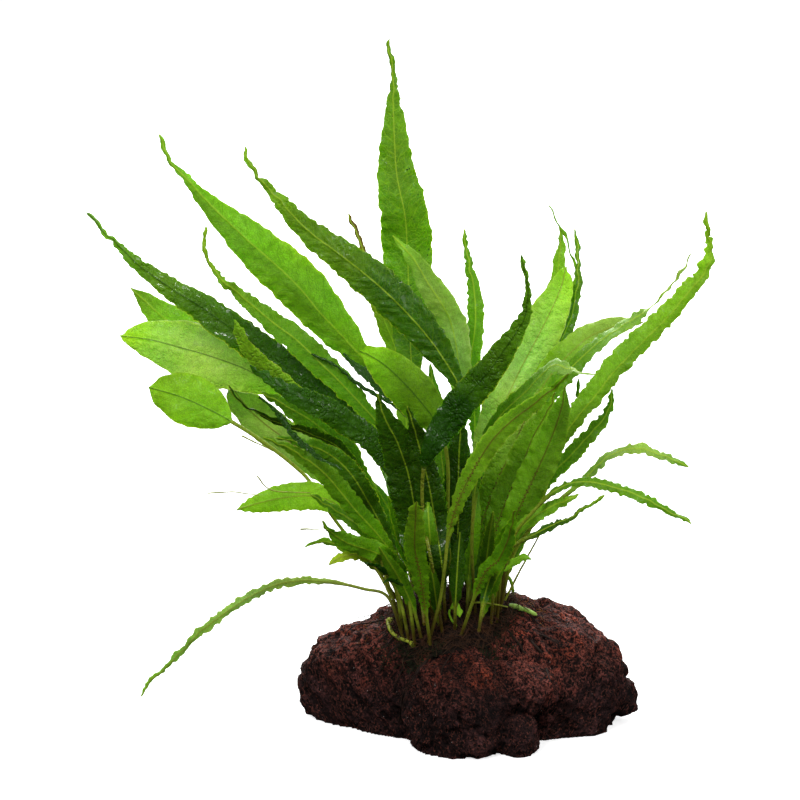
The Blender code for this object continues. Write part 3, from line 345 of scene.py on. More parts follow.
# sides other than 1 are painted light and shade on leaf halves; left_broad's pale middle and sides of 1.5 are painted
# sheen and light
LOOK_OF_LEAF = {
    "tall_centre": dict(colours=("dark", "mid", "mid"), vein=0.75, specks=1.0, crinkle=0.6),
    "upper_left": dict(sides=(0.95, 1.35), vein=-0.2, crinkle=0.5),
    "far_left": dict(colours=("deep", "dark", "light"), crinkle=0.5, rib="deep", wet=0.5),
    "left_curled_tip": dict(colours=("mid", "mid", "light"), vein=0.5, crinkle=0.6),
    "quilted_centre": dict(colours=("dark", "dark", "light"), quilt=0.8, crinkle=0.6, wet=0.3),
    "left_glossy": dict(colours=("deep", "dark", "dark"), quilt=0.7, vein=0.2, rib="deep", wet=1.0),
    "left_broad": dict(colours=("light", "pale", "bright"), sides=(1.5, 1.5), rib="deep", vein=0.2, wet=0.4),
    "left_rounded": dict(sides=(1.0, 1.05), rib="deep", vein=0.2),
    "left_pale": dict(colours=("light", "pale", "pale"), rib="brown", vein=0.15),
    "left_yellow": dict(colours=("light", "bright", "bright"), sides=(1.2, 1.2), quilt=0.12, vein=0.1),
    "dark_front": dict(colours=("deep", "deep", "light"), quilt=0.6, vein=0.2, crinkle=0.3, rib="deep", wet=1.0),
    "short_olive": dict(colours=("olive", "olive", "bright"), sides=(1.2, 1.2), quilt=0.15, vein=0.12, rib="deep"),
    "bright_right": dict(colours=("light", "pale", "bright"), sides=(1.15, 1.5), quilt=0.5, vein=0.2, wet=0.4),
    "right_long": dict(colours=("mid", "light", "bright"), sides=(1.05, 0.85), quilt=0.5, crinkle=0.8, shift=0.25),
    "right_long_tip": dict(colours=("dark", "mid", "pale"), crinkle=0.7),
    "right_curved": dict(colours=("mid", "light", "pale"), quilt=0.12, vein=0.1),
    "right_spore_dotted": dict(colours=("mid", "light", "pale"), spores=True, rib="brown", vein=0.3),
    "right_inner": dict(colours=("mid", "light", "light"), sides=(0.85, 1.2), spores=True, rib="brown"),
    "right_outer": dict(colours=("mid", "light", "light"), sides=(1.15, 0.8), spores=True, rib="brown"),
    "front_lance": dict(colours=("mid", "mid", "light"), spores=True, rib="brown", quilt=0.15),
    "front_dotted": dict(spores=True, rib="brown", quilt=0.15),
    "front_long": dict(colours=("olive", "light", "mid"), spores=True, rib="brown"),
    "hooked_tip": dict(colours=("dark", "mid", "pale"), crinkle=0.6),
    "left_droop": dict(colours=("pale", "pale", "light"), quilt=0.15, rib="stalk"),
    "brown_tip": dict(colours=("light", "light", "brown")),
    "dark_broad": dict(colours=("deep", "deep", "dark"), quilt=0.6),
    "middle_pale": dict(colours=("light", "pale", "light")),
    "left_small_yellow": dict(colours=("olive", "yellow", "yellow"), quilt=0.1),
    "right_arch_blunt": dict(colours=("light", "pale", "light"), quilt=0.15),
}

INNER_LOOK = dict(quilt=0.15, vein=0.25, crinkle=0.05, wet=0.1, specks=0.8)

# Thin runners and scraps between the leaves, as seen from the front. depths: y at the two ends
Scrap = namedtuple("Scrap", "width colour depths route")
SCRAPS = tuple(Scrap(*row) for row in (
    (0.5, "pale", (-20, -24), [(-87, 79), (-79, 79.3), (-70, 78.3)]),
    (0.5, "pale", (-18, -22), [(-70.7, 84.7), (-65.7, 80), (-53, 79)]),
    (0.6, "pale", (-6, -12), [(-75.7, 98), (-66.7, 93.7)]),
    (0.6, "light", (-22, -22), [(-56.3, 67), (-49.7, 67)]),
    (3.0, "light", (-30, -36), [(12, 53), (17, 57), (21, 56.7)]),
    (2.2, "deep", (-20, -26), [(-24, 50), (-30, 54), (-35, 56)]),
    (2.0, "deep", (-22, -26), [(-22, 48), (-26, 50), (-29, 49)]),
    (1.0, "stalk", (-14, -18), [(-25.7, 44), (-30, 52), (-35.3, 59.3)]),
    (1.0, "stalk", (-13, -17), [(-26.3, 45.7), (-28, 51), (-29.7, 58.3)]),
    (0.8, "stalk", (-6, -20), [(12, 43.3), (18, 55), (25.3, 68.3)]),
    (0.7, "pale", (-5, -9), [(0.7, 42.5), (6, 42.3), (13, 41)]),
    (1.4, "mid", (14, 14), [(36, 111), (36.4, 114), (36.6, 117.3)]),
    (6.5, "light", (-9, -15), [(-50, 106.5), (-60, 114), (-69, 121.5), (-75, 129), (-78.4, 136.8)]),
    (4.6, "deep", (3, -2),
     [(-42, 125.5), (-37.3, 120.8), (-32.8, 118), (-28, 113), (-22.6, 109.5), (-9.7, 101.7)]),
    (1.5, "deep", (0, -4), [(-52.5, 125.5), (-44.7, 121.7), (-36.3, 115), (-23, 106.7), (-13, 96.7)]),
    (2.2, "deep", (-24, -27), [(-70, 111), (-64, 106), (-58, 98), (-50, 91), (-42, 87)]),
))

# Young growths, as seen from the front. radii: at the foot, middle and tip. stands: whether it rises from its foot
Young = namedtuple("Young", "node colour radii stands route")
YOUNG = tuple(Young(*row) for row in (
    ("fiddlehead", "stalk", (1.0, 0.62, 0.8), False,
     [(-18.2, 28), (-19.7, 29.3), (-22.3, 30.2), (-24.7, 31.4), (-26, 33.2), (-26.8, 35.4), (-26.4, 36.8),
      (-25.4, 36.6), (-25.5, 35.6)]),
    ("bent_stalk", "light", (0.55, 0.6, 0.5), True,
     [(11.6, 45.3), (11.5, 48.5), (12, 50.6), (13.3, 50.8), (14.3, 48.6), (14.7, 45.8), (14.9, 43.8)]),
    ("young_curled_leaf", "light", (0.42, 0.36, 0.34), True,
     [(-4.2, 34.6), (-5.9, 36.8), (-6.6, 39), (-6.3, 40.3)]),
    ("rhizome_tip", "pale", (0.55, 0.85, 0.65), False,
     [(13.2, 41.2), (16, 40.6), (19, 39.5), (22.3, 38)]),
))

# Roots that cling to the rock, as seen from the front: width and route
CLINGING_ROOTS = (
    (1.0, [(-9.7, 27.5), (-14, 23), (-20, 14), (-21.7, 8), (-22.6, 2.6)]),
    (0.8, [(-10.5, 26.5), (-16, 21), (-21.4, 13), (-22.8, 6), (-23.4, 3)]),
    (0.9, [(20.3, 30), (24.5, 25), (25.3, 21.7), (27, 16)]),
    (0.6, [(-2, 30), (-6, 25), (-9, 20), (-9.5, 15)]),
    (0.6, [(-22, 30), (-27, 25), (-30, 19)]),
    (0.5, [(-26, 33), (-33, 27), (-37, 22)]),
    (0.6, [(9, 30), (13, 26.5), (14, 22.5), (12, 18)]),
    (0.5, [(30, 32), (36, 27), (38, 22)]),
)

# Roots all round the mat but in front (turns in radians): length of a step, wandering at each in radians, pull
# downwards, and height at which they end
ROOTS_AROUND = 26
FRONT_TURNS = (4.2, 5.2)
ROOT_STRIDE = 1.2
ROOT_WANDER = 0.22
ROOT_FALL = 0.9
ROOT_END = 2.0

# Bands of painted shade on the rock, under its ledge and along the groove beside the roots, as seen from the front:
# width and route
PAINTED_SHADE_BANDS = (
    (9.0, [(-9, 24), (-3, 17), (4, 12), (9, 6)]),
    (5.0, [(-22, 24), (-22, 14), (-23, 6)]),
)

# Short blades that fill the heart of the plant. tip: where it is seen from the front, and how deep it lies
Inner = namedtuple("Inner", "root tip depth width turn shade")
INNER_BLADES = tuple(Inner(*row) for row in (
    ((-14, 9), (-30, 96), 34, 9, 15, "dark"),
    ((2, 9), (14, 92), 33, 9, -15, "dark"),
    ((-6, 8), (-13, 122), 24, 9, 5, "mid"),
    ((5, 6), (12, 84), 18, 8, 20, "dark"),
    ((-16, 5), (-33, 84), 16, 7, 25, "mid"),
    ((-1, 6), (3, 92), 14, 8, -10, "deep"),
    ((-11, 5), (-19, 90), 8, 8, 10, "deep"),
    ((9, 3), (26, 80), 6, 6, 30, "mid"),
    ((3, 1), (9, 78), 0, 7, -20, "dark"),
    ((-14, 0), (-27, 78), -8, 7, 20, "dark"),
    ((-6, 0), (-7, 84), -8, 8, 0, "deep"),
    ((5, -4), (14, 70), -22, 6, 15, "mid"),
    ((0, -6), (1, 74), -26, 6, -15, "dark"),
    ((-11, -7), (-22, 72), -34, 6, 10, "dark"),
    ((-16, -8), (-30, 61), -36, 5, 25, "mid"),
    ((-5, -9), (-3, 66), -40, 5, 5, "deep"),
    ((3, -9), (12, 56), -40, 4, 20, "mid"),
    ((-10, -11), (-13, 56), -44, 4, -5, "dark"),
    ((-5, -4), (-4, 87), -30, 5, 10, "dark"),
    ((-1, -5), (3, 80), -34, 5, -15, "mid"),
    ((4, -6), (8, 73), -38, 4.5, 20, "dark"),
    ((-12, -5), (-14, 78), -38, 5, 5, "mid"),
    ((-15, -5), (-21, 66), -42, 4.5, -10, "dark"),
    ((3, -8), (11, 62), -44, 4, 15, "dark"),
))

ALL_ROUND = 2 * math.pi


def shown(red, green, blue):
    """The colour that a screen shows with these three values from 0 to 255."""
    return tuple((value / 255 / 12.92) if value < 11 else ((value / 255 + 0.055) / 1.055) ** 2.4
                 for value in (red, green, blue))


def colour_setting(name, red, green, blue, description):
    return FloatVectorProperty(name=name, description=description, default=shown(red, green, blue), min=0.0,
                               max=1.0, subtype="COLOR")


def length_setting(name, millimetres, description):
    return FloatProperty(name=name, description=description, default=millimetres * MM, min=0.0,
                         unit="LENGTH", precision=5)


class StoneSettings(bpy.types.PropertyGroup):
    rock: colour_setting("Rock", 97, 47, 38, "Colour of most of the lava rock")
    patches: colour_setting("Patches", 138, 58, 34, "Colour of its rusty patches")
    low: colour_setting("Low front", 60, 35, 35, "Colour of the rock low down")
    # Ridges: painted highlights on the edges between pores and on pore rims
    ridge_highlight: colour_setting("Ridges", 150, 84, 68, "Colour of the edges between its pores")
    # Hollows: the painted shade inside pores and grooves
    hollow_shade: colour_setting("Hollows", 7, 3, 3, "Colour inside its pores")
    pore_depth: length_setting("Pore depth", 0.85, "Depth of the largest pores")
    fine_pore: length_setting("Fine pore spacing", 0.85, "Distance between the finest pores")
    squares: IntProperty(name="Squares", description="Faces along each side of the rock's mesh", default=126,
                         min=20, max=128)


class RootSettings(bpy.types.PropertyGroup):
    mound: colour_setting("Mound", 30, 19, 12, "Colour of the root mat under its fibres")
    fibre: colour_setting("Fibres", 68, 42, 24, "Colour of the dry fibres on the mat")
    strand: colour_setting("Clinging roots", 40, 24, 16, "Colour of the roots that cling to the rock")
    moss: colour_setting("Moss", 36, 42, 18, "Colour of the moss at the mat's rim")
    hair: colour_setting("Root hairs", 176, 112, 40, "Colour of the fine hairs at the rim")
    fibre_width: length_setting("Fibre width", 0.34, "Width of a fibre of the mat")
    fibre_length: length_setting("Fibre length", 7.0, "Length of a fibre of the mat")
    moss_height: length_setting("Moss height", 2.2, "Height of a moss shoot")


class LeafSettings(bpy.types.PropertyGroup):
    bright: colour_setting("Bright", 146, 206, 26, "Green of the brightest leaves")
    light: colour_setting("Light", 130, 186, 28, "Green of the light leaves")
    mid: colour_setting("Mid", 98, 158, 10, "Green of the middling leaves")
    dark: colour_setting("Dark", 56, 106, 8, "Green of the dark leaves")
    deep: colour_setting("Deep", 38, 82, 4, "Green of the darkest leaves")
    # Pale also serves as the painted sheen on left_broad
    pale: colour_setting("Pale", 156, 196, 84, "Green of pale, milky leaves")
    olive: colour_setting("Olive", 100, 146, 12, "Green of the leaves with an olive cast")
    yellow: colour_setting("Yellow", 158, 194, 30, "Green of the yellowing leaves")
    rib: colour_setting("Midrib", 182, 214, 50, "Colour of most midribs")
    stalk: colour_setting("Stalk", 156, 168, 50, "Colour of the stalks and olive midribs")
    brown: colour_setting("Brown", 112, 70, 26, "Colour of brown midribs, tips and specks")
    spore: colour_setting("Spore cases", 104, 52, 18, "Colour of the spore cases under the leaves")
    step: length_setting("Mesh step", 0.5, "Distance between a blade's points")
    thickness: length_setting("Thickness", 0.34, "Thickness of a blade beside its midrib")
    ruffle: length_setting("Ruffle", 0.8, "Height of the waves along a margin")


class StageSettings(bpy.types.PropertyGroup):
    floor: colour_setting("Floor", 244, 244, 244, "Colour of the floor")
    key_power: FloatProperty(name="Key light", description="Power of the large light in front", default=9.0,
                             min=0.0, unit="POWER")
    back_power: FloatProperty(name="Back light", description="Power of the light behind the leaves", default=34.0,
                              min=0.0, unit="POWER")
    side_power: FloatProperty(name="Side light", description="Power of the light on the right", default=3.0,
                              min=0.0, unit="POWER")
    glint_power: FloatProperty(name="Small light", description="Power of the small light that makes wet leaves glint",
                               default=1.1, min=0.0, unit="POWER")
    sky: FloatProperty(name="Sky", description="Brightness of the light from all round", default=0.28, min=0.0)


# ---- Shapes ----

def unit(vectors):
    """Vectors of length 1."""
    return vectors / np.linalg.norm(vectors, axis=-1, keepdims=True)


# The front view's own directions and the point that it is seen from
SIGHT = np.array([0.0, math.cos(VIEW_TILT), -math.sin(VIEW_TILT)])
ACROSS = np.array([1.0, 0.0, 0.0])
UP = np.array([0.0, math.sin(VIEW_TILT), math.cos(VIEW_TILT)])
EYE = ACROSS * VIEW_CENTRE[0] + UP * VIEW_CENTRE[1] - SIGHT * VIEW_DISTANCE


def at_depth(seen, depth):
    """The points that are seen at these places (across, up) and lie at these depths y."""
    rays = seen[:, :1] * ACROSS + seen[:, 1:] * UP - EYE
    return EYE + rays * ((depth - EYE[1]) / rays[:, 1])[:, None]


def as_seen(points):
    """Where points are seen from the front (across, up)."""
    rays = points - EYE
    on_plane = EYE + rays * (VIEW_DISTANCE / (rays @ SIGHT))[..., None]
    return np.stack([on_plane @ ACROSS, on_plane @ UP], axis=-1)


def bend(before, start, end, after, t):
    """The points at t, from 0 to 1, on smooth curves from start to end."""
    return 0.5 * (2 * start + (end - before) * t + (2 * before - 5 * start + 4 * end - after) * t**2
                  + (3 * start - before - 3 * end + after) * t**3)


def smooth_route(points, count):
    """count points evenly spaced on a smooth curve through the given points."""
    points = np.asarray(points, float)
    padded = np.vstack([2 * points[0] - points[1], points, 2 * points[-1] - points[-2]])
    t = np.linspace(0, 1, CURVE_SAMPLES, endpoint=False)[:, None]
    curve = [bend(*four, t) for four in zip(padded, padded[1:], padded[2:], padded[3:])]
    curve = np.vstack(curve + [points[-1:]])
    walked = np.concatenate([[0], np.cumsum(np.linalg.norm(np.diff(curve, axis=0), axis=1))])
    wanted = np.linspace(0, walked[-1], count)
    return np.stack([np.interp(wanted, walked, column) for column in curve.T], axis=1)


def finer(values, shares):
    """Smooth values at shares of the way along rows that are evenly spaced."""
    values = np.asarray(values, float).reshape(len(values), -1)
    spot = np.clip(shares, 0, 1) * (len(values) - 1)
    low = np.clip(spot.astype(int), 0, len(values) - 2)
    t = (spot - low)[:, None]
    padded = np.vstack([2 * values[0] - values[1], values, 2 * values[-1] - values[-2]])
    return bend(*(padded[low + step] for step in range(4)), t)


def smooth_step(values, low, high):
    share = np.clip((values - low) / (high - low), 0, 1)
    return share * share * (3 - 2 * share)


def chance(cells, seed):
    """An even random number from 0 to 1 for each whole-numbered cell (last axis), mixed with large odd numbers."""
    cells = np.floor(cells).astype(np.int64)
    mixed = np.full(cells.shape[:-1], seed * 40503 + 12345, np.int64)
    for axis, factor in zip(range(cells.shape[-1]), (374761393, 668265263, 974634777)):
        mixed = ((mixed ^ (cells[..., axis] * factor)) * 1274126177) & 0xFFFFFFFF
        mixed ^= mixed >> 15
    mixed = (mixed * 2246822519) & 0xFFFFFFFF
    return ((mixed ^ (mixed >> 13)) & 0xFFFFFF) / float(0x1000000)


def ripples(x, y, seed):
    """Smooth random waves from -1 to 1, about one unit wide."""
    x, y = np.broadcast_arrays(np.asarray(x, float), np.asarray(y, float))
    left, low = np.floor(x), np.floor(y)
    across, up = (part * part * (3 - 2 * part) for part in (x - left, y - low))
    corner = [[chance(np.stack([left + dx, low + dy], axis=-1), seed) for dx in (0, 1)] for dy in (0, 1)]
    rows = [near + (far - near) * across for near, far in corner]
    return 2 * (rows[0] + (rows[1] - rows[0]) * up) - 1


def scattered(points, seed):
    """Distance to the nearest of scattered spots, one to each unit cell, and that spot's own random number."""
    nearest = np.full(points.shape[:-1], 9.0)
    own = np.zeros(points.shape[:-1])
    base = np.floor(points)
    for step in itertools.product((-1, 0, 1), repeat=points.shape[-1]):
        cell = base + np.array(step)
        spot = cell + np.stack([chance(cell, seed + axis) for axis in range(points.shape[-1])], axis=-1)
        distance = np.linalg.norm(points - spot, axis=-1)
        closer = distance < nearest
        nearest = np.where(closer, distance, nearest)
        own = np.where(closer, chance(cell, seed + 7), own)
    return nearest, own


def near_line(points, line):
    """Distance from each point to the nearest of the points of a line."""
    return np.sqrt(((points[:, None, :] - line[None, :, :]) ** 2).sum(axis=-1).min(axis=1))


def surface_of(*nodes):
    """A tree over CAD nodes, in millimetres."""
    points, faces = [], []
    for node in nodes:
        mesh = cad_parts[node].data
        faces += [tuple(corner + len(points) for corner in face.vertices) for face in mesh.polygons]
        points += [vertex.co / MM for vertex in mesh.vertices]
    return BVHTree.FromPolygons(points, faces)


@functools.lru_cache
def bare_stone():
    return surface_of("stone")


@functools.lru_cache
def ground():
    return surface_of("stone", "root_mat")


def height_over(tree, x, y):
    """Height of the highest surface at x, y, or 0 beside it."""
    hit = tree.ray_cast(Vector((x, y, ABOVE_ALL)), Vector((0, 0, -1)))[0]
    return hit.z if hit else 0.0


def laid_on(tree, seen, lift):
    """Points that are seen at these places, on the surface that is seen there and lifted off it."""
    points = []
    for across, up in seen:
        ray = unit(across * ACROSS + up * UP - EYE)
        hit, normal, _, _ = tree.ray_cast(Vector(EYE), Vector(ray))
        if hit:
            points.append(np.array(hit) + np.array(normal) * lift)
    return np.array(points)


def mesh_of(name, points, quads, others=(), attributes=None, layout=None):
    """A mesh from points in millimetres, quads and other polygons. layout: places on the map for each corner."""
    mesh = bpy.data.meshes.new(name)
    mesh.vertices.add(len(points))
    mesh.vertices.foreach_set("co", (np.asarray(points) * MM).astype(np.float32).ravel())
    sizes = [4] * len(quads) + [len(other) for other in others]
    if sizes:
        corners = np.concatenate([np.asarray(quads, np.int32).ravel(), *[np.asarray(other) for other in others]])
        mesh.loops.add(len(corners))
        mesh.loops.foreach_set("vertex_index", corners.astype(np.int32))
        mesh.polygons.add(len(sizes))
        mesh.polygons.foreach_set("loop_start", np.cumsum([0, *sizes[:-1]]).astype(np.int32))
    mesh.update(calc_edges=True)
    for title, values in (attributes or {}).items():
        values = np.asarray(values, np.float32)
        kind = {1: ("FLOAT", "value"), 3: ("FLOAT_VECTOR", "vector"), 4: ("FLOAT_COLOR", "color")}
        width = 1 if values.ndim == 1 else values.shape[1]
        layer = mesh.attributes.new(title, kind[width][0], "POINT")
        layer.data.foreach_set(kind[width][1], values.ravel())
    if layout is not None:
        mesh.uv_layers.new(name="OFBake").data.foreach_set("uv", layout.astype(np.float32).ravel())
    mesh.shade_smooth()
    return mesh


def placed(name, mesh, slot, *nodes, material=None):
    """The finished piece from a mesh: it rides on the body and stands for its CAD nodes."""
    if material:
        mesh.materials.clear()
        mesh.materials.append(material)
    piece = bpy.data.objects.new(name, mesh)
    bpy.context.scene.collection.objects.link(piece)
    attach(piece, "root")
    if nodes:
        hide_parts(*nodes)
    return piece


# ---- Node trees ----

class Wiring:
    """Adds nodes to a tree and joins them."""

    def __init__(self, tree):
        self.tree = tree

    def add(self, kind, sockets=None, output=0, **settings):
        """A new node's output. sockets: what goes into its inputs, by name or index."""
        node = self.tree.nodes.new(kind)
        for setting, value in settings.items():
            setattr(node, setting, value)
        for key, value in (sockets or {}).items():
            if isinstance(value, bpy.types.NodeSocket):
                self.join(value, node.inputs[key])
            else:
                node.inputs[key].default_value = value
        return node.outputs[output]

    def join(self, value, socket):
        self.tree.links.new(value, socket)

    def maths(self, operation, *values):
        return self.add("ShaderNodeMath", dict(enumerate(values)), operation=operation)

    times = functools.partialmethod(maths, "MULTIPLY")
    plus = functools.partialmethod(maths, "ADD")
    minus = functools.partialmethod(maths, "SUBTRACT")
    higher = functools.partialmethod(maths, "MAXIMUM")

    def ramp(self, value, low, high, start=0.0, end=1.0):
        """Start to end as the value goes from low to high."""
        return self.add("ShaderNodeMapRange", {"Value": value, "From Min": low, "From Max": high,
                                               "To Min": start, "To Max": end}, interpolation_type="SMOOTHSTEP")

    def mix(self, factor, first, second, blend="MIX"):
        return self.add("ShaderNodeMix", {0: factor, 6: first, 7: second}, 2, data_type="RGBA", blend_type=blend)

    def tinted(self, colour, tint):
        """A colour multiplied by another."""
        return self.mix(1.0, colour, tint, "MULTIPLY")

    def shaded(self, colour, shade):
        """A colour multiplied by a grey value."""
        return self.tinted(colour, self.add("ShaderNodeCombineColor", dict.fromkeys(range(3), shade)))

    def noise(self, vector, scale, detail=3.0, roughness=0.55):
        return self.add("ShaderNodeTexNoise", {"Vector": vector, "Scale": scale, "Detail": detail,
                                               "Roughness": roughness})

    def cells(self, vector, scale, feature="F1"):
        """Distance to the middle of the nearest of scattered cells, or to its edge."""
        return self.add("ShaderNodeTexVoronoi", {"Vector": vector, "Scale": scale}, feature=feature)

    def stored(self, name, output="Fac"):
        """What the mesh holds under this name."""
        node = self.tree.nodes.new("ShaderNodeAttribute")
        node.attribute_name = name
        return node.outputs[output]

    def parts(self, vector):
        """The three values of a vector."""
        return self.add("ShaderNodeSeparateXYZ", {0: vector}).node.outputs

    def bump(self, shader, height, strength, distance):
        relief = self.add("ShaderNodeBump", {"Strength": strength, "Distance": distance, "Height": height})
        self.join(relief, shader.inputs["Normal"])

    def rod(self, curve, sides, scale):
        """A round rod along a curve."""
        ring = self.add("GeometryNodeCurvePrimitiveCircle", {"Resolution": sides, "Radius": 1.0})
        return self.add("GeometryNodeCurveToMesh", {"Curve": curve, "Profile Curve": ring, "Scale": scale,
                                                    "Fill Caps": True})


def new_material(name, roughness, **sockets):
    """A material, its wires and its shader node, with the values that are the same all over."""
    material = bpy.data.materials.new(name)
    material.use_nodes = True
    shader = material.node_tree.nodes["Principled BSDF"]
    shader.inputs["Roughness"].default_value = roughness
    for socket, value in sockets.items():
        shader.inputs[socket.replace("_", " ")].default_value = value
    return material, Wiring(material.node_tree), shader


def growth_tree(name, sizes, whole=()):
    """An empty geometry node tree with named inputs for its sizes: its wiring, what it is given and its output."""
    tree = bpy.data.node_groups.new(name, "GeometryNodeTree")
    tree.interface.new_socket("Geometry", in_out="INPUT", socket_type="NodeSocketGeometry")
    for title, default in sizes.items():
        kind = "NodeSocketInt" if title in whole else "NodeSocketFloat"
        tree.interface.new_socket(title, in_out="INPUT", socket_type=kind).default_value = default
    tree.interface.new_socket("Geometry", in_out="OUTPUT", socket_type="NodeSocketGeometry")
    return Wiring(tree), tree.nodes.new("NodeGroupInput").outputs, tree.nodes.new("NodeGroupOutput").inputs[0]


def end_tree(wires, shape, out, material):
    """Real copies, smooth faces and the material, then the tree's output. Gives the finished tree."""
    shape = wires.add("GeometryNodeRealizeInstances", {"Geometry": shape})
    shape = wires.add("GeometryNodeSetShadeSmooth", {"Geometry": shape})
    wires.join(wires.add("GeometryNodeSetMaterial", {"Geometry": shape, "Material": material}), out)
    return wires.tree


def grown(name, base, tree, sizes):
    """The plain mesh that a geometry node tree makes from base data, with sizes for its named inputs."""
    holder = bpy.data.objects.new(name + "_base", base)
    bpy.context.scene.collection.objects.link(holder)
    modifier = holder.modifiers.new("Growth", "NODES")
    modifier.node_group = tree
    for item in tree.interface.items_tree:
        if item.in_out == "INPUT" and item.name in sizes:
            modifier[item.identifier] = sizes[item.name]
    graph = bpy.context.evaluated_depsgraph_get()
    mesh = bpy.data.meshes.new_from_object(holder.evaluated_get(graph))
    holder.modifiers.remove(modifier)
    bpy.data.objects.remove(holder)
    mesh.name = name
    if not mesh.polygons:
        raise RuntimeError(f"the growth of {name} made no faces")
    return mesh


def fibre_shapes(wires, arcs, width, sides, tip):
    """Instances of thin curved rods, one for each arc (start, middle and end of a bend), 1 unit long."""
    joined = wires.tree.nodes.new("GeometryNodeJoinGeometry")
    for arc in arcs:
        curve = wires.add("GeometryNodeCurveQuadraticBezier",
                          {"Resolution": 6, **dict(zip(("Start", "Middle", "End"), arc))})
        thin = wires.ramp(wires.add("GeometryNodeSplineParameter"), 0.0, 1.0, 1.0, tip)
        rod = wires.rod(curve, sides, wires.times(thin, width))
        wires.join(wires.add("GeometryNodeGeometryToInstance", {"Geometry": rod}), joined.inputs[0])
    return joined.outputs[0]


def scatter_tree(name, material, arcs, lean, tip, seed):
    """A tree that scatters curved fibres over faces. lean: most tilt off the surface's normal, in radians. tip: how
    thick a fibre still is at its end."""
    wires, given, out = growth_tree(name, {"Density": 1e6, "Length": 0.005, "Width": 0.0003, "Seed": seed},
                                    whole=("Seed",))
    points = wires.add("GeometryNodeDistributePointsOnFaces",
                       {"Mesh": given[0], "Density": given["Density"], "Seed": given["Seed"]}).node.outputs
    share = wires.maths("DIVIDE", given["Width"], wires.times(given["Length"], 2.0))
    shapes = fibre_shapes(wires, arcs, share, FIBRE_SIDES, tip)
    lay = wires.add("FunctionNodeRandomValue", {0: (-lean, -lean, 0.0), 1: (lean, lean, ALL_ROUND),
                                                "Seed": seed + 1}, data_type="FLOAT_VECTOR")
    turn = wires.add("FunctionNodeEulerToRotation", {0: lay})
    turned = wires.add("FunctionNodeRotateRotation", {0: points["Rotation"], 1: turn}, rotation_space="LOCAL")
    size = wires.add("FunctionNodeRandomValue", {2: 0.45, 3: 1.0, "Seed": seed + 2}, 1, data_type="FLOAT")
    shape = wires.add("GeometryNodeInstanceOnPoints",
                      {"Points": points[0], "Instance": shapes, "Pick Instance": True, "Rotation": turned,
                       "Scale": wires.times(size, given["Length"])})
    return end_tree(wires, shape, out, material)


def strand_tree(name, material, sides, seed):
    """A tree that gives curves a round, uneven thickness from their points' radius."""
    wires, given, out = growth_tree(name, {"Thickness": 1.0, "Wander": 0.0004, "Unevenness": 0.25})
    place = wires.add("GeometryNodeInputPosition")
    bend = wires.add("ShaderNodeTexNoise", {"Vector": place, "Scale": 260.0, "Detail": 2.0}, 1)
    centred = wires.add("ShaderNodeVectorMath", {0: bend, 1: (0.5, 0.5, 0.5)}, operation="SUBTRACT")
    offset = wires.add("ShaderNodeVectorMath", {0: centred, "Scale": given["Wander"]}, operation="SCALE")
    curve = wires.add("GeometryNodeSetPosition", {"Geometry": given[0], "Offset": offset})
    uneven = wires.times(wires.minus(wires.noise(place, 420.0 + seed, 2.0), 0.5), given["Unevenness"])
    factor = wires.times(wires.plus(uneven, 1.0), given["Thickness"])
    shape = wires.rod(curve, sides, wires.times(factor, wires.add("GeometryNodeInputRadius")))
    return end_tree(wires, shape, out, material)


def strand_curves(name, strands):
    """A curve object's data: one line for each strand of points and radii in millimetres."""
    curves = bpy.data.curves.new(name, "CURVE")
    curves.dimensions = "3D"
    for points, radii in strands:
        line = curves.splines.new("POLY")
        line.points.add(len(points) - 1)
        line.points.foreach_set("co", np.column_stack([points * MM, np.ones(len(points))]).ravel())
        line.points.foreach_set("radius", radii * MM)
    return curves


# ---- Stone ----

def stone_field(points):
    """Below 0 inside the stone's lobes, above 0 outside."""
    nearness = 0.0
    for centre, radii in STONE_LOBES:
        scaled = np.abs((points - np.array(centre)) / np.array(radii))
        inside = (scaled**LOBE_POWER).sum(axis=-1) ** (1 / LOBE_POWER) - 1
        nearness = nearness + np.exp(-inside / LOBE_BLEND)
    return -LOBE_BLEND * np.log(nearness + 1e-300)


def stone_radius(directions):
    """How far the lobes reach from the stone's heart in each direction."""
    heart = np.array(STONE_HEART)
    outer = np.full(len(directions), STONE_REACH)
    found = np.zeros(len(directions), bool)
    for reach in np.linspace(STONE_REACH, 0, REACH_STEPS)[1:]:
        inside = stone_field(heart + directions[~found] * reach) < 0
        outer[~found] = reach
        found[np.nonzero(~found)[0][inside]] = True
        if found.all():
            break
    inner, outer = outer, outer + STONE_REACH / (REACH_STEPS - 1)
    for _ in range(HALVINGS):
        middle = (outer + inner) / 2
        within = stone_field(heart + directions * middle[:, None]) < 0
        inner, outer = np.where(within, middle, inner), np.where(within, outer, middle)
    return inner


def beside_line(points, width, route):
    """1 on the line over the rock that is seen along a route, fading to 0 beside it."""
    line = smooth_route(laid_on(bare_stone(), smooth_route(route, 12), 0.0), 60)
    return np.exp(-((near_line(points, line) / width) ** 2))


def roughness(point):
    """How far lumps raise and pits lower the stone's surface there."""
    place = Vector(point)
    lumps = LUMP_HEIGHT * noise.fractal(place / LUMP_SIZE, LUMP_FALLOFF, LUMP_GROWTH, LUMP_LAYERS)
    nearest = noise.voronoi(place / PIT_SPACING)[0][0] * PIT_SPACING
    pit = PIT_DEPTH * max(0.0, 1 - (nearest / PIT_RADIUS) ** 2)
    bare = 1.0 if point[2] < ROUGH_BELOW else min(1.0, max(0.0, (from_mat(point) - 1.0) / SMOOTH_FADE - 0.2))
    return (lumps - pit) * bare


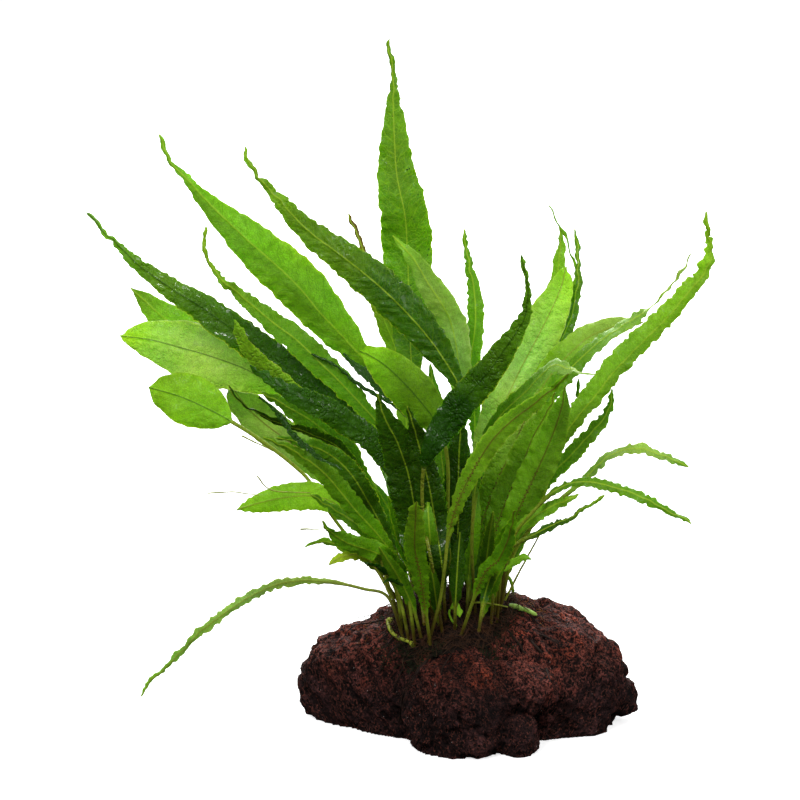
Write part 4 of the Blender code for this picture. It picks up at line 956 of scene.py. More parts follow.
def cube_grid(squares):
    """Points on a cube with edges of 2, the quads between them and a flat map of the six sides."""
    line = np.tan(np.linspace(-1, 1, squares + 1) * math.pi / 4)
    flat = np.linspace(0, 1, squares + 1)
    points, quads, layout = [], [], []
    row, column = (index.ravel() for index in np.meshgrid(range(squares), range(squares), indexing="ij"))
    corner = row * (squares + 1) + column
    quad = np.stack([corner, corner + squares + 1, corner + squares + 2, corner + 1], axis=1)
    for side in range(6):
        axis, sign = side // 2, 1 - 2 * (side % 2)
        u, v = np.meshgrid(line, line, indexing="ij")
        face = np.zeros((squares + 1, squares + 1, 3))
        face[..., axis], face[..., (axis + 1) % 3], face[..., (axis + 2) % 3] = sign, u, v
        quads.append((quad if sign > 0 else quad[:, ::-1]) + len(points) * (squares + 1) ** 2)
        points.append(face.reshape(-1, 3))
        u, v = np.meshgrid(flat, flat, indexing="ij")
        place = np.stack([u.ravel(), v.ravel()], axis=1) * (1 - 2 * MAP_MARGIN) + MAP_MARGIN
        place = (place + np.array([side % 3, side // 3])) / np.array([3.0, 2.0])
        layout.append(place[(quad if sign > 0 else quad[:, ::-1]).ravel()])
    points, quads = np.vstack(points), np.vstack(quads)
    _, first, joined = np.unique(np.round(points, 6), axis=0, return_index=True, return_inverse=True)
    return points[first], joined.ravel()[quads], np.vstack(layout)


def rock_mesh(settings):
    """The lava rock: its lobes, lumps, grooves and pores."""
    points, quads, layout = cube_grid(settings.squares // (1))
    directions = unit(points)
    heart = np.array(STONE_HEART)
    radius = stone_radius(directions)
    down = directions[:, 2] < 0
    floor_reach = np.where(down, -heart[2] / np.where(down, directions[:, 2], -1), np.inf)
    points = heart + directions * np.minimum(radius, floor_reach)[:, None]
    rough = np.array([roughness(point) for point in points])
    points = points + directions * np.where(radius < floor_reach, rough, 0)[:, None]

    base = mesh_of("rock_base", points, quads)
    normals = np.empty(len(points) * 3, np.float32)
    base.vertex_normals.foreach_get("vector", normals)
    normals = normals.reshape(-1, 3).astype(float)
    bpy.data.meshes.remove(base)

    grooves = sum(depth * beside_line(points, width, route) for width, depth, route in GROOVES)
    # Painted shade: bands under the ledge and along the groove beside the roots
    stain = np.maximum.reduce([beside_line(points, width, route) for width, route in PAINTED_SHADE_BANDS])
    aside = points - heart
    around, out = np.arctan2(aside[:, 1], aside[:, 0]), np.hypot(aside[:, 1], aside[:, 0])
    walk = np.hypot(out, STREAM_TOP - points[:, 2]) * STREAM_STRETCH
    streamed = np.stack([STREAM_RADIUS * np.cos(around), STREAM_RADIUS * np.sin(around), walk], axis=1)
    hollow = np.zeros(len(points))
    for number, (spacing, share, rarity, drawn_out) in enumerate(PORES):
        distance, own = scattered((streamed if drawn_out else points) / spacing, 20 + 10 * number)
        wide = PORE_RADIUS + PORE_VARIETY * own
        pore = np.clip(1 - (distance / wide) ** 2, 0, 1) ** PORE_ROUNDNESS * (own > rarity)
        hollow = np.maximum(hollow, pore * share)
    slanted = points[:, 0] + 0.7 * points[:, 2], points[:, 1] - 0.8 * points[:, 2]
    grain, coarse, fine = (ripples(slanted[0] / size, slanted[1] / size, seed)
                           for size, seed in ((GRAIN_SIZE, 5), (KNOB_SIZE, 6), (SMALL_KNOB_SIZE, 7)))
    knobs = coarse + SMALL_KNOB_SHARE * fine
    depth = hollow * settings.pore_depth / MM + GRAIN_HEIGHT * grain + KNOB_HEIGHT * knobs
    above = smooth_step(points[:, 2], 0.0, FOOT_FADE)
    points = points - normals * ((grooves + depth) * above)[:, None]
    low, high = (np.array(corner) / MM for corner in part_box("stone"))
    points = np.clip(points, low - ROCK_LEEWAY, high + ROCK_LEEWAY)
    points[:, 2] = np.maximum(points[:, 2], 0.0)
    # hollow, groove and sunk give painted shade in recesses and painted light on knobs, stain the painted shade bands
    relief = {"hollow": hollow * above, "groove": np.clip(grooves, 0, 1), "stream": streamed,
              "sunk": knobs / (1 + SMALL_KNOB_SHARE) + 0.35 * grain, "stain": stain}
    return mesh_of("rock", points, quads, attributes=relief, layout=layout)


def rock_material(settings):
    """Porous lava: rusty patches; pores, grooves and bands darkened with painted shade; paler edges and pore rims that
    are painted highlights; painted light and shade on the grain and knobs; and tiny painted glints. Heights and sizes
    are in metres.
    """
    material, wires, shader = new_material("Lava rock", 0.85, Specular_IOR_Level=0.2)
    place = wires.add("ShaderNodeTexCoord", output=3)
    height = wires.parts(place)[2]
    mottle = wires.noise(place, 110.0, 5.0, 0.65)
    grit = wires.noise(place, 1300.0, 4.0, 0.7)
    lumps = wires.noise(place, 420.0, 4.0, 0.7)

    rust = wires.times(wires.ramp(wires.noise(place, 60.0, 5.0, 0.7), 0.50, 0.66),
                       wires.ramp(height, 0.008, 0.030, 0.1, 0.7))
    colour = wires.mix(wires.ramp(height, 0.030, 0.014), (*settings.rock, 1), (*settings.low, 1))
    colour = wires.mix(rust, colour, (*settings.patches, 1))
    # Painted light and shade of the knobs: lighter where the surface stands out, darker where it is sunk
    colour = wires.shaded(colour, wires.times(wires.ramp(mottle, 0.32, 0.68, 0.5, 1.4),
                                              wires.ramp(wires.stored("sunk"), -0.5, 0.5, 1.4, 0.5)))
    # Painted light and shade of the fine relief: lighter on the bump's tops, darker between them, with less of it low
    # down
    shade = wires.times(wires.ramp(grit, 0.42, 0.58, 0.1, 1.9), wires.ramp(lumps, 0.4, 0.6, 0.45, 1.5))
    shade = wires.plus(wires.times(shade, wires.ramp(height, 0.010, 0.028, 0.45, 1.0)),
                       wires.ramp(height, 0.010, 0.028, 0.4, 0.0))
    colour = wires.shaded(colour, shade)
    # Painted highlights on the tops of the grain, stronger higher up where the light falls
    edge_highlight = wires.times(wires.ramp(grit, 0.55, 0.66), wires.ramp(height, 0.012, 0.03, 0.12, 0.6))
    colour = wires.mix(edge_highlight, colour, (*settings.ridge_highlight, 1))

    # Fine pores, drawn out downhill as the large ones are; painted dark as the shade inside them
    width = wires.times(wires.noise(place, 500.0, 2.0), 0.8)
    stream, many = wires.stored("stream", "Vector"), MM / settings.fine_pore
    large, small = (wires.plus(wires.cells(stream, many * share), width) for share in (0.9, 1.9))
    # Painted highlights on the rims of the fine pores
    rim = wires.times(wires.ramp(large, 0.94, 0.78), wires.ramp(grit, 0.42, 0.58, 0.0, 0.5))
    colour = wires.mix(rim, colour, (*settings.ridge_highlight, 1))
    pinholes = wires.higher(wires.ramp(large, 0.72, 0.66), wires.times(wires.ramp(small, 0.72, 0.65), 0.8))
    # Painted shade: pores, pinholes, grooves and the shaded bands are darkened towards the hollows colour
    dark = wires.ramp(wires.stored("hollow"), 0.35, 0.8, 0.0, 0.8)
    for other in (wires.times(pinholes, 0.95), wires.ramp(wires.stored("groove"), 0.35, 0.9, 0.0, 0.9),
                  wires.times(wires.stored("stain"), 0.55)):
        dark = wires.higher(dark, other)
    colour = wires.mix(dark, colour, (*settings.hollow_shade, 1))

    # Tiny painted glints: pale specks mixed into the colour
    glint = wires.times(wires.ramp(wires.noise(place, 900.0, 0.0), 0.79, 0.82),
                        wires.ramp(wires.cells(place, 1700.0), 0.35, 0.2))
    wires.join(wires.mix(glint, colour, (0.6, 0.5, 0.46, 1)), shader.inputs["Base Color"])
    wires.join(wires.ramp(mottle, 0.3, 0.7, 0.95, 0.65), shader.inputs["Roughness"])
    wires.bump(shader, wires.plus(wires.minus(grit, pinholes), wires.times(lumps, 2.5)), 1.0, 0.0009)
    return material


# ---- Root mat, roots and moss ----

def mound_mesh():
    """The root mat as a fine-grained mound that keeps to its CAD node."""
    tree, stone = surface_of("root_mat"), bare_stone()
    rings, columns = ((34, 170))
    low, high = (np.array(corner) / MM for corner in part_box("root_mat"))
    centre = (low + high) / 2
    reach = []
    for turn in np.linspace(0, ALL_ROUND, columns, endpoint=False):
        inner, outer = 0.0, MOUND_REACH
        for _ in range(MOUND_HALVINGS):
            middle = (inner + outer) / 2
            spot = Vector((centre[0] + middle * math.cos(turn), centre[1] + middle * math.sin(turn), ABOVE_ALL))
            inside = tree.ray_cast(spot, Vector((0, 0, -1)))[0] is not None
            inner, outer = (middle, outer) if inside else (inner, middle)
        reach.append(inner * MOUND_SHARE)
    over, under = [], []
    for ring in range(rings + 1):
        for column in range(columns if ring else 1):
            share, turn = ring / rings, ALL_ROUND * column / columns
            x = centre[0] + reach[column] * share * math.cos(turn)
            y = centre[1] + reach[column] * share * math.sin(turn)
            top, base = height_over(tree, x, y), height_over(stone, x, y)
            crown = 1 - share**6
            lump = MOUND_LUMP * noise.fractal(Vector((x, y, top)) / MOUND_LUMP_SIZE, 0.8, 2.0, 4)
            over.append((x, y, base + MOUND_LIFT + (top - base) * crown + lump * crown))
            under.append((x, y, base - MOUND_SUNK))
    shift = len(over)
    quads, ends = [], []
    for ring in range(rings - 1):
        for column in range(columns):
            after = (column + 1) % columns
            near, far = 1 + ring * columns, 1 + (ring + 1) * columns
            quads.append((near + column, far + column, far + after, near + after))
            quads.append(tuple(shift + corner for corner in quads[-1][::-1]))
    rim = 1 + (rings - 1) * columns
    for column in range(columns):
        after = (column + 1) % columns
        quads.append((rim + column, rim + shift + column, rim + shift + after, rim + after))
        ends.append((0, 1 + column, 1 + after))
        ends.append((shift, shift + 1 + after, shift + 1 + column))
    return mesh_of("mound", np.array(over + under), np.array(quads), ends)


def earthy_material(name, colour, scale, rough, spread=0.6):
    """A matt, uneven surface for roots and moss, whose colour varies along and between its fibres."""
    material, wires, shader = new_material(name, rough, Specular_IOR_Level=0.3)
    place = wires.add("ShaderNodeTexCoord", output=3)
    shade = wires.ramp(wires.noise(place, scale, 4.0, 0.65), 0.25, 0.75, 1 - spread, 1 + spread)
    wires.join(wires.shaded((*colour, 1), shade), shader.inputs["Base Color"])
    wires.bump(shader, wires.noise(place, scale * 5, 3.0), 0.6, 0.0003)
    return material


def downhill(start, heading, length, rng, lift):
    """A root's path over the rock, from a spot on it outwards and down, wandering a little."""
    tree = bare_stone()
    hit, normal, _, _ = tree.find_nearest(Vector(start))
    path = []
    for _ in range(int(length / ROOT_STRIDE)):
        path.append(np.array(hit) + np.array(normal) * lift)
        heading += rng.normal(0, ROOT_WANDER)
        pull = Vector((math.cos(heading), math.sin(heading), -ROOT_FALL))
        along = pull - normal * pull.dot(normal)
        if along.length < 1e-6:
            break
        hit, normal, _, _ = tree.find_nearest(hit + along.normalized() * ROOT_STRIDE)
        if hit.z < ROOT_END:
            break
    return np.array(path)


def root_strands():
    """Paths and radii of all the roots that cling to the rock."""
    strands = []
    for width, route in CLINGING_ROOTS:
        points = smooth_route(laid_on(bare_stone(), smooth_route(route, 24), width * 0.15), 60)
        strands.append((points, np.linspace(width, width * 0.55, len(points)) / 2))
    rng = np.random.default_rng(11)
    for number in range(ROOTS_AROUND):
        turn = ALL_ROUND * number / ROOTS_AROUND + rng.uniform(-0.1, 0.1)
        reach = rng.uniform(0.85, 1.0)
        x = MAT_CENTRE[0] + MAT_RADII[0] * reach * math.cos(turn)
        y = MAT_CENTRE[1] + MAT_RADII[1] * reach * math.sin(turn)
        if FRONT_TURNS[0] < turn < FRONT_TURNS[1]:
            continue
        start = (x, y, height_over(bare_stone(), x, y))
        points = downhill(start, turn, rng.uniform(9, 30), rng, 0.1)
        if len(points) > 4:
            points = smooth_route(points, 3 * len(points))
            width = rng.uniform(0.35, 0.85)
            strands.append((points, np.linspace(width, width * 0.4, len(points)) / 2))
    return strands


def rim_faces(keep):
    """A copy of the ground's faces whose centre passes a test, as a base for things that grow there."""
    points, faces = [], []
    for node in ("stone", "root_mat"):
        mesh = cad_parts[node].data
        for face in mesh.polygons:
            if face.normal.z > -0.2 and keep(node, np.array(face.center) / MM):
                faces.append(tuple(range(len(points), len(points) + len(face.vertices))))
                points += [mesh.vertices[corner].co.copy() for corner in face.vertices]
    mesh = bpy.data.meshes.new("growing_ground")
    mesh.from_pydata(points, [], faces)
    return mesh


def from_mat(place):
    """Distance from the root mat's middle, 1 at its rim."""
    return math.hypot((place[0] - MAT_CENTRE[0]) / MAT_RADII[0], (place[1] - MAT_CENTRE[1]) / MAT_RADII[1])


def placed_fibres(name, material, arcs, keep, lie, sizes):
    """The finished piece of fibres that are scattered where keep allows it. lie: most lean, tip and seed."""
    tree = scatter_tree(name, material, arcs, *lie)
    return placed(name, grown(name, rim_faces(keep), tree, sizes), "roots")


def placed_strands(name, strands, material, sides, seed, wander, unevenness, slot, *nodes):
    """The finished piece of round strands, each with its points and radii."""
    tree = strand_tree(name, material, sides, seed)
    sizes = {"Thickness": 1.0, "Wander": wander, "Unevenness": unevenness}
    return placed(name, grown(name, strand_curves(name, strands), tree, sizes), slot, *nodes)


# ---- Leaves ----

def half_widths(leaf, share):
    """Half of the leaf's width at shares of its length: a stalk, then a blade drawn out at both ends."""
    along = np.clip((share - leaf.start) / (1 - leaf.start), 0, 1)
    rise = (along / leaf.peak) ** (leaf.slim * leaf.peak)
    fall = ((1 - along) / (1 - leaf.peak)) ** (leaf.slim * (1 - leaf.peak))
    narrowest = STALK_WIDTH + (TIP_WIDTH - STALK_WIDTH) * np.clip(share, 0, 1) ** 2
    return np.maximum(leaf.width * rise * fall, narrowest) / 2


def widest(leaf):
    """The share of its length at which a leaf is widest."""
    return leaf.start + (1 - leaf.start) * leaf.peak


def directions_along(path, turn):
    """Unit vectors along a path, across the blade and off its face, with the blade turned about the path."""
    along = unit(np.gradient(path, axis=0))
    across = unit(np.cross(along, SIGHT))
    off = np.cross(across, along)
    cosine, sine = np.cos(turn)[:, None], np.sin(turn)[:, None]
    return along, across * cosine + off * sine, off * cosine - across * sine


class Spine:
    """A leaf's route: where it is seen, how deep it lies, how wide it is and how far it is turned."""

    def __init__(self, leaf):
        base = np.array([[leaf.root[0], leaf.root[1], height_over(ground(), *leaf.root)]])
        self.leaf = leaf
        self.seen = smooth_route(np.vstack([as_seen(base), leaf.route]), STATIONS)
        self.share = np.linspace(0, 1, STATIONS)
        self.depth = leaf.root[1] + (leaf.tip_y - leaf.root[1]) * self.share**LEAN_POWER
        self.half = half_widths(leaf, self.share)
        self.turn = np.radians(np.interp(self.share, [leaf.start, 1], leaf.turn))

    def path(self):
        return at_depth(self.seen, self.depth)

    def spots(self):
        """Close places on the blade, to find what passes in front of it: across, up, depth and station."""
        path = self.path()
        across = directions_along(path, self.turn)[1]
        rows = max(1, math.ceil(self.half.max() / SETTLE_CELL))
        found = []
        for row in range(-rows, rows + 1):
            place = path + across * (self.half * row / rows)[:, None]
            found.append(np.column_stack([as_seen(place), place[:, 1], np.arange(STATIONS)]))
        return np.vstack(found)


def settle(spines, moving=None):
    """Move blades apart in depth wherever one passes in front of another, keeping their order."""
    window = np.hanning(2 * SETTLE_REACH + 3)[1:-1]
    window *= SETTLE_STRENGTH / window.sum()
    for turn in range(SETTLE_ROUNDS):
        shift = (turn % 2) * SETTLE_CELL / 2
        cells = {}
        for index, spine in enumerate(spines):
            for across, up, depth, station in spine.spots().tolist():
                cell = (math.floor((across + shift) / SETTLE_CELL), math.floor((up + shift) / SETTLE_CELL))
                nearest = cells.setdefault(cell, {}).setdefault(index, [depth, depth, int(station)])
                nearest[0] = min(nearest[0], depth)
                nearest[1] = max(nearest[1], depth)
        pushes = np.zeros((2, len(spines), STATIONS))
        for present in cells.values():
            ordered = sorted(present.items())
            for (behind, far), (before, near) in zip(ordered, ordered[1:]):
                overlap = SETTLE_GAP - (far[0] - near[1])
                if overlap > 0:
                    pushes[0, behind, far[2]] = max(pushes[0, behind, far[2]], overlap / 2)
                    pushes[1, before, near[2]] = max(pushes[1, before, near[2]], overlap / 2)
        for index, spine in enumerate(spines):
            if moving is None or moving[index]:
                push = pushes[0, index] - pushes[1, index]
                spine.depth = spine.depth + np.convolve(push, window, mode="same")


@functools.lru_cache
def settled_spines():
    spines = [Spine(leaf) for leaf in LEAVES]
    settle(spines)
    return spines


def look_of(leaf):
    own = INNER_LOOK if leaf.name.startswith("inner") else LOOK_OF_LEAF.get(leaf.name.removeprefix("leaf_"), {})
    return LOOK_OF_SHADE[leaf.shade]._replace(**own)


def clear_of(path):
    """Index of the first station from which the path stays clear of the ground."""
    heights = np.array([point[2] - height_over(ground(), point[0], point[1]) for point in path])
    low = np.nonzero(heights[: STATIONS // 2] < CLEAR_OF_GROUND)[0]
    return int(low[-1]) + 1 if len(low) else 0


class Blade:
    """One leaf as rows of points across it: x from -1 to 1 across, share from 0 to 1 along."""

    def __init__(self, leaf, path, turn, begin, settings, seed):
        look = look_of(leaf)
        self.leaf, self.look, self.seed = leaf, look._replace(shift=-look.shift), seed
        step = settings.step / MM * 1.0
        length = np.linalg.norm(np.diff(path, axis=0), axis=1).sum()
        trial = np.linspace(begin, 1, TRIAL_ROWS)
        needed = np.cumsum(1 / (STALK_STRIDE + (1 - STALK_STRIDE) * self.fullness(trial)))
        rows = max(12, int(needed[-1] / TRIAL_ROWS * length * (1 - begin) / step))
        self.share = np.interp(np.linspace(needed[0], needed[-1], rows), needed, trial)
        columns = max(4, round(half_widths(leaf, trial).max() / step))
        t = np.linspace(-1, 1, 2 * columns + 1)
        self.t = np.sign(t) * np.abs(t) ** MIDRIB_CROWDING
        self.blade = self.fullness(self.share)
        self.half = half_widths(leaf, self.share)
        self.half *= np.sqrt(np.clip((1.0 - self.share) * length / TIP_ROUNDING, 0.03, 1))
        self.path, self.turn = finer(path, self.share), finer(turn, self.share)[:, 0]
        self.thickness = settings.thickness / MM
        self.ruffle = settings.ruffle / MM
        self.crimp()

    def fullness(self, share):
        """0 on the round stalk, 1 on the thin blade."""
        leaf = self.leaf
        if leaf.start == 0:
            return np.ones_like(share)
        wide = 2 * half_widths(leaf, share)
        return np.where(share > widest(leaf), 1.0, smooth_step(wide, STALK_WIDTH, 2.4 * STALK_WIDTH))

    def crimp(self):
        """Bends and twists the narrow end to and fro."""
        self.walked = np.concatenate([[0], np.cumsum(np.linalg.norm(np.diff(self.path, axis=0), axis=1))])
        narrow = smooth_step(self.half, 3.4, 1.0) * self.blade * (0.2 + 0.8 * smooth_step(self.share, 0.5, 0.8))
        _, across, off = directions_along(self.path, self.turn)
        swing, bob, twist = (
            amount * self.look.crinkle * narrow * ripples(self.walked / size, 0.0, self.seed + number)
            for number, (amount, size) in enumerate(CRIMPS))
        self.path = self.path + across * swing[:, None] + off * bob[:, None]
        self.turn = self.turn + twist
        self.along, self.across, self.off = directions_along(self.path, self.turn)

    def swell(self, v, r):
        """Height of the blade's quilting, ribs and waves towards the viewer, and how far along the veins are."""
        look, seed, u = self.look, self.seed, self.walked[:, None]
        spacing = np.clip(0.5 * self.half.max(), *VEIN_SPACING)
        side = np.where(v > 0, 37.5, 0.0)
        bent = 0.34 * ripples(u / 4.5, v / 3, seed + 3) + 0.16 * ripples(u / 1.9, v / 1.6, seed + 8)
        phase = (u - VEIN_SWEEP * np.abs(v) * (1 + 0.3 * r)) / spacing + side + bent
        distance, own = scattered(np.stack([phase, v / (0.85 * spacing) + side, 0 * v], axis=-1), seed + 5)
        blister = np.clip(1 - (distance / BLISTER_RADIUS) ** 2, 0, 1)
        between = 0.75 * blister * (0.4 + 1.2 * own) + 0.25 * np.abs(np.sin(math.pi * phase))
        room = np.clip(self.half / ROOMY, 0.12, 1.0)[:, None]
        height = look.quilt * room * (between - 0.3) * (1 - smooth_step(r, 0.86, 1.0))
        height = height + 0.45 * room * ripples(u / 8, v / 6, seed + 14)
        waves = r**2.5 * (self.ruffle * ripples(u / 2.3, np.sign(v) * 3.1, seed + 6)
                          + 1.2 * self.ruffle * ripples(u / 7, np.sign(v) * 5.3, seed + 7)) * room
        groove = -0.25 * room * np.exp(-((v / 1.2) ** 2)) + 0.16 * np.exp(-((v / MIDRIB_WIDTH) ** 2))
        return (height + waves + groove) * self.blade[:, None], phase, distance

    def surface(self):
        """Front and back points, and the values at each point of the front."""
        seed, t, r = self.seed, self.t[None, :], np.abs(self.t)[None, :]
        u, blade, plain = self.walked[:, None], self.blade[:, None], self.half[:, None]
        shift = self.look.shift * blade
        x = np.sign(t) * r * (1 - np.sign(t) * shift) + shift
        beat = u / (np.clip(0.55 * self.half.max(), *LOBE_SPACING) * 0.5)
        lobes, nicks = (np.where(t < 0, ripples(place, 0.0, seed + number), ripples(place, 5.0, seed + number + 1))
                        for place, number in ((beat, 10), (u / NICK_SPACING, 12)))
        narrow = smooth_step(self.half, 3.6, 1.0)[:, None]
        wide = np.minimum(0.42 / self.half, 0.3)[:, None] * blade * (0.4 + self.look.crinkle)
        half = plain * (1 + wide * (lobes * (1 + 0.4 * narrow) + nicks * (0.35 + 0.5 * narrow)))
        v = (x - shift) * half
        height, phase, cell = self.swell(v, r)
        limb = np.sqrt(np.clip(1 - np.abs(x) ** (2 + 8 * blade), 0, 1))
        thin = np.minimum(self.thickness * (1 - 0.45 * r) / 2, plain * 0.6)
        thick = (plain + (thin - plain) * blade) * limb
        cup = plain * BLADE_CUP * blade * r**1.5
        middle = self.path[:, None, :] + self.across[:, None, :] * (x * half)[..., None]
        front, back = (middle + self.off[:, None, :] * lift[..., None]
                       for lift in (cup - height - thick, cup - height + thick))
        values = {"u": u, "v": v, "r": r, "phase": phase, "cell": cell, "share": self.share[:, None], "blade": blade}
        return front, back, {name: np.broadcast_to(value, v.shape) for name, value in values.items()}

    def greens(self, values, palette):
        """The colour of each point before veins and flecks, with painted light and shade on its halves and partly
        painted shade at a darker lower end.
        """
        seed, u, v = self.seed, values["u"], values["v"]
        stops = np.array([palette[name] for name in self.look.colours])
        marks = [self.leaf.start, widest(self.leaf), 0.985]
        share = values["share"] + 0.04 * ripples(u / 7, v / 4, seed + 20)
        colour = np.stack([np.interp(share, marks, stops[:, channel]) for channel in range(3)], axis=-1)
        # Painted light and shade: each half brightened or darkened by the look's sides
        side = np.interp(np.clip(-v / 1.2, -1, 1), [-1, 1], self.look.sides)
        cloud = 1 + 0.16 * ripples(u / 10, v / 6, seed + 21)
        warm = 0.10 * ripples(u / 16, v / 9, seed + 22)
        cast = np.stack([1 + warm, np.ones_like(warm), 1 - 2 * warm], axis=-1)
        return np.clip(colour * (side * cloud)[..., None] * cast, 0, 1)


def flat_map(blade, v, row, column):
    """Places on a flat map for the corners of each quad, then of the two ends: front and back side by side, cut into
    strips that stand next to each other."""
    width, length = blade.half.max() * 2 * MAP_ROOM, blade.walked[-1]
    strips = max(1, round(math.sqrt(length / (2 * width))))
    along = blade.walked / length * strips
    strip = np.minimum(along[:-1], strips - 1e-6).astype(int)[row]
    place = v / width
    middle = np.concatenate([0.5 + place, BACK_MIDDLE - place[:, -2::-1]], axis=1)
    seam = column == v.shape[1] - 1
    near, far = ((np.where(seam, BACK_MIDDLE - place[each, -1], middle[each, column]), middle[each, column + 1],
                  along[each] - strip) for each in (row, row + 1))
    scale = max(strips * STRIP_WIDTH * width, length / strips * 1.02)
    corners = np.stack([np.stack([(across + strip * STRIP_WIDTH) * width, up * length / strips], axis=1)
                        for across, up in ((near[0], near[2]), (near[1], near[2]), (far[1], far[2]), (far[0], far[2]))],
                       axis=1) / scale
    ends = np.full((4 * v.shape[1] - 4, 2), 0.999)
    return np.vstack([corners.reshape(-1, 2) * 0.98 + 0.005, ends])


def blade_mesh(blade):
    """The closed mesh of one leaf, its values for the material and its flat map."""
    def rings(front, back):
        """Rows round the blade: over its front, then back under it."""
        round_it = np.concatenate([front, back[:, -2:0:-1]], axis=1)
        return round_it.reshape(-1, *round_it.shape[2:])

    front, back, values = blade.surface()
    rows, columns = front.shape[:2]
    ring = 2 * columns - 2
    points = rings(front, back)
    row, column = (index.ravel() for index in np.meshgrid(range(rows - 1), range(ring), indexing="ij"))
    after = (column + 1) % ring
    quads = np.stack([row * ring + column, row * ring + after, (row + 1) * ring + after,
                      (row + 1) * ring + column], axis=1)
    ends = [np.arange(ring)[::-1], np.arange(ring) + (rows - 1) * ring]

    palette, look, count = leaf_palette(), blade.look, len(points)
    green = blade.greens(values, palette)
    facing = rings(np.ones((rows, columns)), np.zeros((rows, columns)))
    value = {name: rings(each, each) for name, each in values.items()}
    attributes = {
        "green": np.column_stack([rings(green, green), np.ones(count)]),
        "rib": np.tile([*palette[look.rib], 1.0], (count, 1)),
        "spot": np.column_stack([value["v"], value["u"], np.full(count, blade.seed * 1.7)]),
        "place": np.column_stack([value["r"], value["blade"], facing]),
        "vein": np.column_stack([value["phase"], value["cell"], value["share"]]),
        "trait": np.tile([look.vein, look.specks, look.wet], (count, 1)),
    }
    mesh = mesh_of(blade.leaf.name, points, quads, ends, attributes, flat_map(blade, values["v"], row, column))
    mesh.set_sharp_from_angle(angle=math.radians(65))
    return mesh


def leaf_material(name, settings, roughness_value, gloss):
    """Living leaf tissue: net veins, lighter side veins, a midrib, dark flecks and a wet gloss."""
    material, wires, shader = new_material(name, roughness_value, Coat_Weight=gloss, Coat_Roughness=0.1,
                                           Specular_IOR_Level=0.24, Subsurface_Weight=0.35,
                                           Subsurface_Scale=0.0006, Subsurface_Radius=(0.8, 1.0, 0.4))
    green, rib, spot = wires.stored("green", "Color"), wires.stored("rib", "Color"), wires.stored("spot", "Vector")
    margin, blade, facing = wires.parts(wires.stored("place", "Vector"))
    phase, cell, share = wires.parts(wires.stored("vein", "Vector"))
    vein, specks, wet = wires.parts(wires.stored("trait", "Vector"))
    mottle = wires.noise(spot, 0.55, 5.0, 0.7)
    grain = wires.noise(spot, 3.2, 3.0, 0.75)
    colour = wires.shaded(green, wires.times(wires.ramp(mottle, 0.3, 0.7, 0.86, 1.14),
                                             wires.ramp(grain, 0.3, 0.7, 0.8, 1.2)))

    # Side veins and the net between them, lighter or darker than the blade
    pale = wires.mix(0.5, wires.mix(0.6, colour, rib), wires.tinted(colour, (2.0, 1.7, 2.6, 1)))
    dim = wires.tinted(colour, (0.55, 0.62, 0.5, 1))
    net = wires.ramp(wires.cells(spot, 0.62, "DISTANCE_TO_EDGE"), 0.09, 0.02)
    fine_net = wires.times(wires.ramp(wires.cells(spot, 1.7, "DISTANCE_TO_EDGE"), 0.10, 0.02), 0.6)
    swing = wires.maths("ABSOLUTE", wires.minus(wires.maths("FRACT", phase), 0.5))
    side_line = wires.times(wires.ramp(swing, 0.42, 0.48), wires.ramp(grain, 0.35, 0.55, 0.4, 1.0))
    side_line = wires.higher(side_line, wires.ramp(cell, 0.62, 0.85, 0.0, 0.4))
    lines = wires.higher(side_line, wires.times(wires.higher(net, fine_net), 0.6))
    lines = wires.times(lines, wires.times(blade, wires.ramp(margin, 1.0, 0.9)))
    colour = wires.mix(wires.times(lines, wires.higher(vein, 0.0)), colour, pale)
    colour = wires.mix(wires.times(lines, wires.higher(wires.times(vein, -3.0), 0.0)), colour, dim)

    fleck = wires.times(wires.ramp(wires.cells(spot, 0.5), 0.20, 0.08), wires.ramp(wires.noise(spot, 0.21), 0.5, 0.6))
    colour = wires.mix(wires.times(fleck, specks), colour, (*(0.25 * part for part in settings.deep), 1))
    rib_line = wires.ramp(wires.maths("ABSOLUTE", wires.parts(spot)[0]), 0.32, 0.12, 0.0, 0.6)
    colour = wires.mix(wires.times(rib_line, blade), colour, rib)

    stalk_spots = wires.ramp(wires.noise(spot, 1.3, 3.0, 0.7), 0.53, 0.61)
    stalk = wires.mix(wires.times(stalk_spots, 0.7), (*settings.stalk, 1), (*settings.brown, 1))
    foot = (*(0.4 * part for part in settings.brown), 1)
    stalk = wires.mix(wires.ramp(share, 0.2, 0.04, 0.0, 0.85), wires.mix(0.25, stalk, green), foot)
    colour = wires.mix(blade, stalk, colour)
    under = wires.times(wires.minus(1.0, facing), 0.35)
    colour = wires.mix(under, colour, wires.tinted(colour, (1.5, 1.35, 1.9, 1)))
    wires.join(colour, shader.inputs["Base Color"])
    wires.join(wires.ramp(mottle, 0.3, 0.7, roughness_value + 0.14, roughness_value - 0.1),
               shader.inputs["Roughness"])

    # The gloss breaks up in worm-shaped wrinkles
    worm = wires.maths("ABSOLUTE", wires.minus(wires.noise(spot, 0.5, 1.0, 0.5), 0.5))
    patch = wires.ramp(wires.noise(spot, 0.13), 0.42, 0.6, 0.15, 1.0)
    worm = wires.times(wires.times(wires.ramp(worm, 0.0, 0.12, 3.6, 0.0), patch), wet)
    relief = wires.minus(wires.times(grain, 0.6), wires.times(lines, 0.6))
    wires.bump(shader, wires.plus(relief, worm), 0.6, 0.0003)
    return material


LEAF_FINISH = {"bright": (0.44, 0.05), "light": (0.44, 0.05), "mid": (0.4, 0.08), "dark": (0.34, 0.25),
               "deep": (0.3, 0.4)}


@functools.lru_cache
def leaf_materials():
    settings = bpy.context.scene.fern_leaves
    return {shade: leaf_material(f"Fern leaf {shade}", settings, *finish) for shade, finish in LEAF_FINISH.items()}


